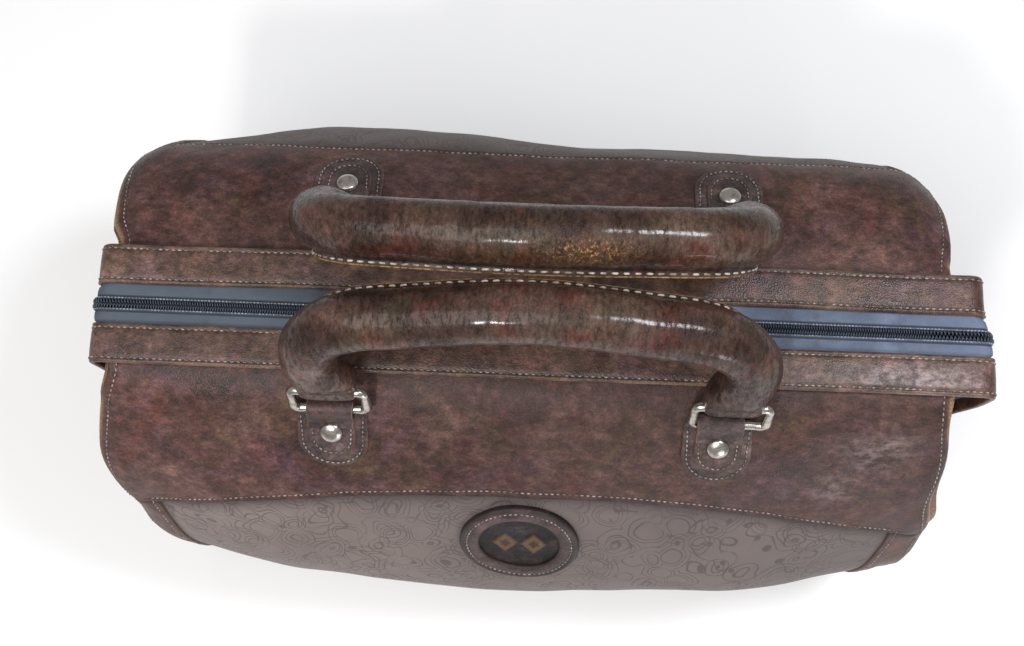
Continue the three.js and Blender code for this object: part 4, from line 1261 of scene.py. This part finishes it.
def roundedBox(half, corner, count=10, step=2.5):
    # outline of a rectangle with round corners, counted round from one corner
    hx, hy = half
    angle = np.linspace(0, np.pi / 2, count)
    pieces = []
    for turn, (sx, sy) in enumerate(((1, 1), (-1, 1), (-1, -1), (1, -1))):
        a = angle + turn * np.pi / 2
        middle = np.array([sx * (hx - corner), sy * (hy - corner)])
        pieces.append(middle + corner * np.stack([np.cos(a), np.sin(a)], -1))
    return densed(np.concatenate(pieces), step)


def densed(outline, step):
    # adds even points on the long straights of a closed outline
    ahead = np.roll(outline, -1, axis=0) - outline
    count = np.maximum(1, (np.linalg.norm(ahead, axis=1) / step).astype(int))
    which = np.repeat(np.arange(len(outline)), count)
    share = (np.arange(len(which)) - np.repeat(np.cumsum(count) - count, count)) / count[which]
    return outline[which] + ahead[which] * share[:, None]


endTab = {"half": (33.0, 13.0), "corner": 6.0, "z": 171.6}


def makeEndTab(end, label):
    # leather tab sewn over the foot of the band
    body = Body()

    def surface(y, v, above):
        y, v, above = np.broadcast_arrays(*(np.asarray(k, float) for k in (y, v, above)))
        return np.stack([end * (238.3 + above), y, endTab["z"] + v], -1)

    outline = roundedBox(endTab["half"], endTab["corner"])
    dent = {
        "dent": lambda a, b, d: 0.12 * ripple(a, b, 20, 61 + end) - 0.35 * bell(d, 3.2, 0.9),
        "pressed": lambda d: 0.5 * bell(d, 3.2, 0.9),
    }
    patchBody(body, outline, surface, 0.0, 2.3, 1.0, (2.2, 3.2, 4.2), dent, 0.5)
    place(label + "EndTab", body, "chape", "bag", [label + "_zip_end_tab"])
    middle = outline.mean(0)
    far = np.linalg.norm(outline - middle, axis=1)
    row = middle + (outline - middle) * (1 - 3.2 / far)[:, None]
    row = np.vstack([row, row[:1]])
    points = surface(row[:, 0], row[:, 1], np.full(len(row), 2.1))
    sewRow(threads, points, np.tile([float(end), 0, 0], (len(row), 1)), 3.2, 0.95, seed=62)


makeEndTab(-1, "left")
makeEndTab(1, "right")
print("zip band made")


# sliders and pull tabs
slider = {"x": 13.0, "half": 7.5, "wide": 5.2, "lowerPlate": 277.75, "upperPlate": 281.25, "pivot": 284.3}


def makeSlider(end, label):
    # cast slider: two rounded plates, a wedge between them and an arched bridge for the pull
    body = Body()
    angle = np.linspace(0, 2 * np.pi, 49)[:-1]
    c, s = np.cos(angle), np.sin(angle)
    reachX = slider["half"] * boxy(c, 0.55)
    taper = 1 - 0.22 * (end * reachX / slider["half"] + 1) / 2
    outline = np.stack([reachX, slider["wide"] * boxy(s, 0.6) * taper], -1)

    def upper(x, y, above):
        x, y, above = np.broadcast_arrays(*(np.asarray(k, float) for k in (x, y, above)))
        return np.stack([end * slider["x"] + x, y, slider["upperPlate"] + above], -1)

    def lower(x, y, above):
        x, y, above = np.broadcast_arrays(*(np.asarray(k, float) for k in (x, y, above)))
        return np.stack([end * slider["x"] + x, y, slider["lowerPlate"] - above], -1)

    crown = {"dent": lambda a, b, d: 0.25 * (1 - np.exp(-d / 2.0))}
    patchBody(body, outline, upper, 0.0, 1.05, 0.5, (), crown)
    patchBody(body, outline, lower, 0.0, 1.05, 0.5)
    headX = -end * (slider["half"] - 1.8)
    post = np.stack([1.5 * c, 0.5 * s], -1)
    postX = end * slider["x"] + headX + post[:, 0]
    rings = np.stack([np.stack([postX, post[:, 1], np.full(len(c), z)], -1) for z in (277.2, 279.5, 281.8)])
    tubeBody(body, rings)
    # bridge: an arch along the zip over the pull's crossbar
    t = np.linspace(0, np.pi, 19)
    arch = np.stack([end * slider["x"] + 2.1 * np.cos(t), 0 * t, 282.0 + 4.35 * np.sin(t) ** 0.8], -1)
    way = np.gradient(arch, axis=0)
    way /= np.linalg.norm(way, axis=1)[:, None]
    up = np.cross(way, [0.0, 1, 0])
    around = np.arange(10) * np.pi / 5
    rings = arch[:, None] + 0.5 * up[:, None] * np.cos(around)[:, None]
    rings = rings + np.array([0, 1.3, 0]) * np.sin(around)[:, None]
    tubeBody(body, rings)
    place(label + "Slider", body, "nickel", label + "_zip_slider", [label + "_slider"])


def makePull(end, label):
    # flat pull tab: rings of points from the window's edge to the outer edge and round the underside
    body = Body()
    count = 56
    angle = np.arange(count) * 2 * np.pi / count
    c, s = np.cos(angle), np.sin(angle)
    outer = np.stack([13.9 + 14.9 * boxy(c, 0.45), (4.55 + 0.25 * c) * boxy(s, 0.55)], -1)
    window = np.stack([3.6 + 2.8 * boxy(c, 0.5), 1.7 * boxy(s, 0.5)], -1)
    shares = np.array([0.0, 0.03, 0.10, 0.5, 0.92, 0.98, 1.0])
    heights = np.array([0.35, 0.62, 0.75, 0.75, 0.75, 0.6, 0.35])
    upperRings = window[None] + (outer - window)[None] * shares[:, None, None]
    rings = np.concatenate([upperRings, upperRings[::-1]])
    h = np.concatenate([heights, -heights[::-1]])
    # pressed bar pattern near the free end
    x = rings[..., 0]
    ridges = 0.18 * np.sin(x * 2 * np.pi / 2.4) * ramped(x, 16, 18) * (1 - ramped(x, 23, 25))
    z = h[:, None] + ridges * np.sign(h)[:, None] * (np.abs(h)[:, None] > 0.7)
    points = np.stack([end * (slider["x"] + rings[..., 0]), rings[..., 1] * end, slider["pivot"] + z], -1)
    tubeBody(body, points, closedPath=True)
    place(label + "PullTab", body, "nickel", label + "_pull", [label + "_pull_tab"])


for end, label in ((-1, "left"), (1, "right")):
    makeSlider(end, label)
    makePull(end, label)
print("sliders made")


# chapes, rings and rivets
chape = {
    "spacing": 105.5, "outer": (41.0, 19.0), "inner": (25.0, 12.5), "innerFrom": 6.8, "seat": 6.5,
    "loop": (3.1, 5.3), "loopHalf": 12.3, "rivetAt": 15.0,
    "slid": {("front", "right"): -4.0},  # a tab that has crept along its ring
}


def tabOutline(start, length, half, count=44):
    # a tab with a straight top and a round end, as (x, distance down)
    t = np.linspace(0, np.pi, count)
    roundEnd = np.stack([half * np.cos(t), start + length - half * 0.98 + half * 0.98 * np.sin(t)], -1)
    wide, narrow = half - 0.3, half - 2.2
    corners = np.array([[-wide, start + 2.2], [-narrow, start], [narrow, start], [wide, start + 2.2]])
    return densed(np.concatenate([roundEnd, corners]), 2.2)


def makeChapes(side, label):
    for end, word in ((-1, "left"), (1, "right")):
        x0 = end * chape["spacing"] + chape["slid"].get((label, word), 0.0)

        def surface(x, down, above):
            return side.overX(x0 + np.asarray(x, float), down, above)

        length, half = chape["outer"]
        outline = tabOutline(side.ringAt + 1.0, length - 1.0, half)
        body = Body()
        dent = {
            "dent": lambda a, b, d: 0.15 * ripple(a, b, 14, 71 + end) - 0.4 * bell(d, 2.8, 0.8),
            "pressed": lambda d: 0.55 * bell(d, 2.8, 0.8),
        }
        patchBody(body, outline, surface, 0.3, 3.0, 1.3, (1.9, 2.8, 3.6), dent, 0.35)
        # strap that folds round the ring's lower bar: a teardrop path with its point on the tab
        share, ringDown = np.array(x0 / shape["half"]), np.array(float(side.ringAt))
        seat = chape["seat"] - float(side.give(share, ringDown))
        bar = side.over(x0 / side.edge(side.ringAt), side.ringAt, seat)
        n = side.normal(share, ringDown)
        downWay = side.bare(share, ringDown + 1.0) - side.bare(share, ringDown - 1.0)
        downWay = downWay / np.linalg.norm(downWay)
        middle = sum(chape["loop"]) / 2
        t = np.linspace(np.radians(62), np.radians(300), 26)
        circle = np.stack([middle * np.cos(t), middle * np.sin(t)], -1)  # (down, above) from the bar
        lead = np.array([[13.0, -2.9], [9.5, -2.3], [7.0, -0.9], [5.0, 1.4]])
        tail = np.array([[4.2, -4.6], [8.0, -5.1], [13.0, -5.2]])
        path2 = splineLine(np.vstack([lead, circle[::3], circle[-1:], tail]), 90)[0]
        path = bar + path2[:, :1] * downWay + path2[:, 1:] * n
        way = np.gradient(path, axis=0)
        way /= np.linalg.norm(way, axis=1)[:, None]
        xWay = np.array([1.0, 0, 0])
        outward = np.cross(way, xWay)
        if np.dot(outward[len(outward) // 2], path[len(path) // 2] - bar) < 0:
            outward = -outward
        half2, thick = chape["loopHalf"], 1.1
        a = np.linspace(0, 2 * np.pi, 41)[:-1]
        profile = np.stack([half2 * boxy(np.cos(a), 0.22), thick * boxy(np.sin(a), 0.5)], -1)
        narrow = 1 + 0.08 * np.linspace(0, 1, len(path)) ** 2
        rings = path[:, None] + xWay * (profile[:, :1][None] * narrow[:, None, None])
        rings = rings + outward[:, None] * profile[:, 1:][None]
        rawEdge = 0.5 * (np.abs(profile[:, 0]) > half2 * 0.97)[None, :] + 0 * narrow[:, None]
        tubeBody(body, rings, marks={"raw": rawEdge, "pressed": 0 * rawEdge})
        place(label + word.title() + "OuterTab", body, "chape", "bag", [label + "_" + word + "_outer_chape"])
        rowPath = fromTop(pulledIn(outline, 2.8))
        facing = side.normal((x0 + rowPath[:, 0]) / shape["half"], rowPath[:, 1])
        sewRow(threads, surface(rowPath[:, 0], rowPath[:, 1], 2.85), facing, 3.0, 0.95, seed=72)

        length, half = chape["inner"]
        outline = tabOutline(side.ringAt + chape["innerFrom"] - 1.5, length + 1.5, half)
        body = Body()
        dent = {"dent": lambda a, b, d: -0.35 * bell(d, 2.4, 0.7) + 0.35 * ramped(d, 3, 7),
                "pressed": lambda d: 0.55 * bell(d, 2.4, 0.7)}
        patchBody(body, outline, surface, 2.4, 5.0, 1.2, (1.6, 2.4, 3.2), dent, 0.35)
        place(label + word.title() + "InnerTab", body, "chape", "bag", [label + "_" + word + "_inner_chape"])
        rowPath = fromTop(pulledIn(outline, 2.4))
        facing = side.normal((x0 + rowPath[:, 0]) / shape["half"], rowPath[:, 1])
        sewRow(threads, surface(rowPath[:, 0], rowPath[:, 1], 4.85), facing, 2.9, 0.9, seed=73)

        # rivet: a domed cap on a shank, with a pressed collar
        at = side.ringAt + chape["rivetAt"]
        spot = side.bare(np.array(x0 / float(side.edge(at))), np.array(at))
        n = side.normal(np.array(x0 / float(side.edge(at))), np.array(at))
        turn = np.cross(n, [1.0, 0, 0])
        turn /= np.linalg.norm(turn)
        other = np.cross(turn, n)

        def onFace(p, spot=spot, n=n, turn=turn, other=other):
            return spot + p[..., :1] * other + p[..., 1:2] * turn + p[..., 2:] * n

        body = Body()
        shank = [(0.3, -4.9), (2.0, -4.9), (2.0, 4.6)]
        cap = [(6.2, 4.7), (6.4, 5.6), (5.6, 7.3), (3.4, 8.5), (0.3, 8.9)]
        turnedBody(body, roundedProfile(shank + cap, 6), 36, onFace)
        place(label + word.title() + "Rivet", body, "nickel", "bag", [label + "_" + word + "_rivet"])


def pulledIn(outline, distance):
    middle = outline.mean(0)
    far = np.linalg.norm(outline - middle, axis=1)
    return middle + (outline - middle) * (1 - distance / far)[:, None]


def fromTop(row):
    # opens a closed row at its top so that only the sides and the round end are sewn
    start = int(np.argmin(row[:, 1] + 0.01 * np.abs(row[:, 0])))
    row = np.roll(row, -start, axis=0)
    kept = row[row[:, 1] > row[:, 1].min() + 1.6]
    return kept


makeChapes(front, "front")
makeChapes(back, "back")
print("tabs and rivets made")


handle = {
    -1: {"at": (0.0, -52.0424, 276.6514), "lean": 18.2468},
    1: {"at": (0.0, 59.2162, 280.8332), "lean": 22.6397},
    "radius": 14.5, "fin": 4.6,
    "route": ((-106.0, 39.0), (-109.5, 54.0), (-106.5, 72.0), (-91.5, 89.0), (-55.5, 98.0), (0.0, 105.0)),
}
ring = {"half": 19.5, "rise": 19.0, "wire": 2.5, "corner": 3.6}


def handlePlane(sign):
    # origin on the ring's lower bar, the way up in the handle's plane, and the way towards the other handle
    angle = math.radians(handle[sign]["lean"])
    up = np.array([0.0, -sign * math.sin(angle), math.cos(angle)])
    toward = np.array([0.0, -sign * math.cos(angle), -math.sin(angle)])
    return np.array(handle[sign]["at"]), up, toward


def makeRing(sign, label, end, word):
    # bent wire: a round section carried round a rectangle with round corners, a little thicker low down
    origin, up, toward = handlePlane(sign)
    hx, hz = ring["half"], ring["rise"] / 2
    line = roundedBox((hx, hz), ring["corner"], 9, 2.0)
    after, before = np.roll(line, -1, axis=0), np.roll(line, 1, axis=0)
    way = after - before
    way /= np.linalg.norm(way, axis=1)[:, None]
    out = np.stack([way[:, 1], -way[:, 0]], -1)
    lowCorner = np.exp(-((line[:, 1] + hz - 3) / 4.0) ** 2) * (np.abs(line[:, 0]) > hx - 4)
    thick = ring["wire"] * (1.0 + 0.16 * lowCorner)
    a = np.arange(16)[:, None] * np.pi / 8
    middle = origin + np.array([end * chape["spacing"], 0, 0]) + up * hz
    centre = middle + line[:, :1] * np.array([1.0, 0, 0]) + line[:, 1:] * up
    outWay = out[:, :1] * np.array([1.0, 0, 0]) + out[:, 1:] * up
    rings = centre[:, None] + thick[:, None, None] * (outWay[:, None] * np.cos(a) + toward * np.sin(a))
    body = Body()
    tubeBody(body, rings, closedPath=True)
    place(label + word.title() + "Ring", body, "nickel", label + "_rings", [label + "_" + word + "_ring"])


def catmull(knots, samples):
    # centripetal Catmull-Rom curve through plane knots, then evened out by run length
    knots = np.asarray(knots, float)
    padded = np.vstack([2 * knots[0] - knots[1], knots, 2 * knots[-1] - knots[-2]])
    out = []
    t = np.linspace(0, 1, 24, endpoint=False)[:, None]
    for a, b, c, d in zip(padded[:-3], padded[1:-2], padded[2:-1], padded[3:]):
        ta, tb, tc = (math.sqrt(np.linalg.norm(q - p)) for p, q in ((a, b), (b, c), (c, d)))
        first = ((b - a) / ta - (c - a) / (ta + tb) + (c - b) / tb) * tb
        second = ((c - b) / tb - (d - b) / (tb + tc) + (d - c) / tc) * tb
        out.append(cubic(b, c, first, second, t))
    line = np.vstack(out + [knots[-1:]])
    run = np.concatenate([[0], np.cumsum(np.linalg.norm(np.diff(line, axis=0), axis=1))])
    at = np.linspace(0, run[-1], samples)
    return np.stack([np.interp(at, run, line[:, k]) for k in range(2)], -1), at


def gripSection():
    # the rolled cover seen end on: round, with its two edges brought together in a fin to the other handle;
    # gives (towards the other handle, outwards in the handle's plane), the fin share and the raw mark
    radius, fin = handle["radius"], handle["fin"]
    finTip = [(0.0, 0.12), (0.35, 0.5), (0.35, 1.35), (0.0, 1.85)]
    finSide = np.array(finTip + [(-0.7, 2.1), (-1.5, 2.1), (-2.3, 2.05), (-3.1, 2.15), (-3.9, 2.6)])
    finSide[:, 0] += radius + fin - 0.35
    startAngle = math.asin(4.0 / radius)
    angle = np.linspace(startAngle, 2 * np.pi - startAngle, 54)
    arc = radius * np.stack([np.cos(angle), np.sin(angle)], -1)
    outline = np.vstack([finSide, arc, finSide[::-1] * [1, -1]])
    raw = np.zeros(len(outline))
    raw[:4] = raw[-4:] = (1.0,) * 4
    raw[0] = raw[-1] = 0.35
    pressed = np.zeros(len(outline))
    pressed[5:9] = (0.3, 0.5, 0.75, 0.9)
    pressed[-9:-5] = (0.9, 0.75, 0.5, 0.3)
    return outline, raw, pressed


def makeGrip(side, label):
    # the rolled cover along its route; at each ring it flattens into a tongue that closes round the bar
    sign = side.sign
    origin, up, toward = handlePlane(sign)
    route = list(handle["route"])
    foot = [(-105.5, 13.6), (-105.5, 19.0), (-105.6, 27.0)]
    knots = foot + route + [(-x, w) for x, w in route[-2::-1]] + [(-x, w) for x, w in foot[::-1]]
    line, run = catmull(knots, 190)
    way = np.gradient(line, axis=0)
    way /= np.linalg.norm(way, axis=1)[:, None]
    out = np.stack([-way[:, 1], way[:, 0]], -1)
    w = line[:, 1]
    outline, raw, pressed = gripSection()
    radius = handle["radius"]
    flatten = ramped(w, 22, 47)  # 0 at the tongue, 1 where the roll is full
    thickHere = 4.9 + (radius - 4.9) * flatten
    closing = np.sqrt(np.clip(1 - ((19.0 - w) / 5.4) ** 2, 0.02, 1))
    thickHere = thickHere * np.where(w < 19.0, closing, 1)
    wideHere = 15.2 + (radius - 15.2) * flatten + 2.0 * bell(w, 33, 8.0)
    finHere = ramped(w, 34, 62)
    # the round part becomes a flatter oval as the cover turns into the tongue
    angle = np.arctan2(outline[:, 1], outline[:, 0])
    onArc = np.hypot(outline[:, 0], outline[:, 1]) <= radius + 0.01
    unit = outline / np.hypot(outline[:, 0], outline[:, 1])[:, None]
    roundShape = outline / radius
    noFin = np.where(onArc[:, None], roundShape, unit)
    base = noFin[None] + (roundShape - noFin)[None] * finHere[:, None, None]
    flatShape = np.stack([boxy(np.cos(angle), 0.75), boxy(np.sin(angle), 0.55)], -1)
    section = flatShape[None] + (base - flatShape[None]) * flatten[:, None, None]
    t = section[..., 0] * thickHere[:, None]
    n = section[..., 1] * wideHere[:, None]
    # hand-worn dents and the small folds on the inside of the bends
    theta = np.broadcast_to(angle[None] * radius, t.shape)
    runs = np.broadcast_to(run[:, None], t.shape)
    lumps = 0.32 * ripple(runs, theta, 26, 81 + sign) + 0.10 * ripple(runs, 0.5 * theta, 6, 83 + sign)
    bend = np.exp(-((run - run[-1] * 0.15) / 16) ** 2) + np.exp(-((run - run[-1] * 0.85) / 16) ** 2)
    inside = np.clip(-section[..., 1], 0, 1)
    folds = -0.35 * bend[:, None] * (0.5 + 0.5 * np.sin(runs * 2 * np.pi / 6.5)) * inside
    grow = 1 + (lumps + folds) * flatten[:, None] / radius
    t, n = t * np.where(onArc, grow, 1), n * np.where(onArc, grow, 1)
    centre = origin + line[:, :1] * np.array([1.0, 0, 0]) + line[:, 1:] * up
    outWay = out[:, :1] * np.array([1.0, 0, 0]) + out[:, 1:] * up
    rings = centre[:, None] + t[..., None] * toward + n[..., None] * outWay[:, None]
    body = Body()
    # rubbed through to the tan where the hand closes on the back grip
    topness = bell(angle[None], 1.15, 0.42)
    wornSpan = 1.2 * bell(line[:, 0], 26, 19) * (sign > 0)
    worn = topness * wornSpan[:, None]
    marks = {
        "raw": raw[None] * finHere[:, None],
        "pressed": pressed[None] * finHere[:, None],
        "worn": worn * onArc[None],
    }
    flat = np.stack(np.broadcast_arrays(run[:, None], angle[None] * radius), -1)
    tubeBody(body, rings, marks=marks, flat=flat)
    place(label + "Grip", body, "grip", label + "_handle", [label + "_grip"])
    # bold stitches on both cheeks of the fin
    sewn = Body()
    keep = finHere > 0.55
    reachOut = 1 + (handle["fin"] - 2.1) / radius * finHere
    for cheek in (-1, 1):
        offset = 2.12 * cheek
        points = centre + (thickHere * reachOut)[:, None] * toward + offset * outWay
        sewRow(sewn, points[keep], cheek * outWay[keep], 5.6, 1.25, 0.66, 0.05, seed=85 + cheek)
    place(label + "GripStitches", sewn, "boldThread", label + "_handle")


for side, label in sides:
    for end, word in ((-1, "left"), (1, "right")):
        makeRing(side.sign, label, end, word)
    makeGrip(side, label)
print("handles made")


# round patch on the front
badge = {"x": -4.0, "down": 137.0, "stitchRadius": 30.2}


def makeBadge():
    # two discs that follow the face; heights are functions of the distance from the middle
    angle = np.linspace(0, 2 * np.pi, 97)[:-1]

    def surface(x, down, above):
        return front.overX(badge["x"] + x, down, above)

    def disc(name, finish, radii, heights, node, pressed, closedPath=False, emblem=None):
        radii, heights = np.asarray(radii, float), np.asarray(heights, float)
        x = radii[:, None] * np.sin(angle)
        down = badge["down"] - radii[:, None] * np.cos(angle)
        above = heights[:, None] + 0 * x
        rubbed = 0 * x
        if emblem is not None:
            rubbed = emblem(x, down - badge["down"])
        body = Body()
        rings = surface(x, down, above + 0.8 * rubbed)
        line = np.asarray(pressed, float)[:, None] + 0 * x
        marks = {"pressed": line, "raw": 0.5 * np.clip(rubbed, 0, 1)}
        tubeBody(body, rings, closedPath=closedPath, marks=marks, flat=np.stack([x, down], -1))
        place(name, body, finish, "bag", node)

    def lozenges(x, y):
        # two plain raised diamonds side by side
        out = 0
        for middle in (-8.2, 8.2):
            d = np.abs(x - middle) / 8.4 + np.abs(y) / 10.5
            out = out + 1.0 - ramped(d, 0.70, 1.02) - 0.7 * (1 - ramped(d, 0.22, 0.50))
        return out

    radii = [33.6, 34.2, 34.4, 34.2, 33.6, 31.0, 27.0] + list(np.linspace(24.0, 0.3, 64))
    heights = [-0.9, -0.6, 0.2, 1.2, 1.6, 1.6, 1.4] + [1.3] * 64
    disc("badgeDisc", "dark", radii, heights, ["badge_disc"], [0] * 71, emblem=lozenges)
    rimRadii = [33.2, 34.3, 34.6, 34.3, 33.4, 32.2, 31.2, 30.2, 29.2, 27.6]
    rimRadii += [25.8, 24.4, 23.5, 23.1, 23.4, 24.6]
    rimHeights = [0.6, 1.0, 2.0, 3.0, 3.7, 3.9, 3.6, 3.35, 3.6, 4.0, 3.9, 3.5, 2.9, 2.1, 1.2, 0.6]
    dark = [0.95, 0.95, 0.95, 0.9, 0.85, 0.7, 0.6, 0.6, 0.2, 0.1, 0.2, 0.5, 0.8, 0.9, 0.95, 0.95]
    disc("badgeRim", "chape", rimRadii, rimHeights, ["badge_rim"], dark, closedPath=True)
    turn = np.linspace(0, 2 * np.pi, 240)
    x, down = badge["stitchRadius"] * np.sin(turn), badge["down"] - badge["stitchRadius"] * np.cos(turn)
    facing = front.normal((badge["x"] + x) / shape["half"], down)
    sewRow(threads, surface(x, down, 3.4 + 0 * x), facing, 3.0, 0.9, seed=91)


makeBadge()
place("bagStitches", threads, "thread", "bag")
print("badge and stitches made")


# pieces kept from the frame
kept = {"bottom_board": "board"}
for _, label in sides:
    kept[label + "_grip_core"] = "rope"
    kept[label + "_left_rivet_washer"] = "nickel"
    kept[label + "_right_rivet_washer"] = "nickel"
for node, finish in kept.items():
    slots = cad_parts[node].data.materials
    slots.clear()
    slots.append(paints[finish])


floorMesh = bpy.data.meshes.new("studioFloor")
floorMesh.from_pydata([(-4, -4, 0), (4, -4, 0), (4, 4, 0), (-4, 4, 0)], [], [(0, 1, 2, 3)])
floor = bpy.data.objects.new("studioFloor", floorMesh)
bpy.context.scene.collection.objects.link(floor)
floorPaint = Paint("paleFloor")
mottle = floorPaint.noise(floorPaint.place(), 3.0, 2.0, 0.5)
floorMesh.materials.append(floorPaint.finish(floorPaint.ramp(mottle, (0.3, 0.90), (0.7, 0.93)), 0.85))
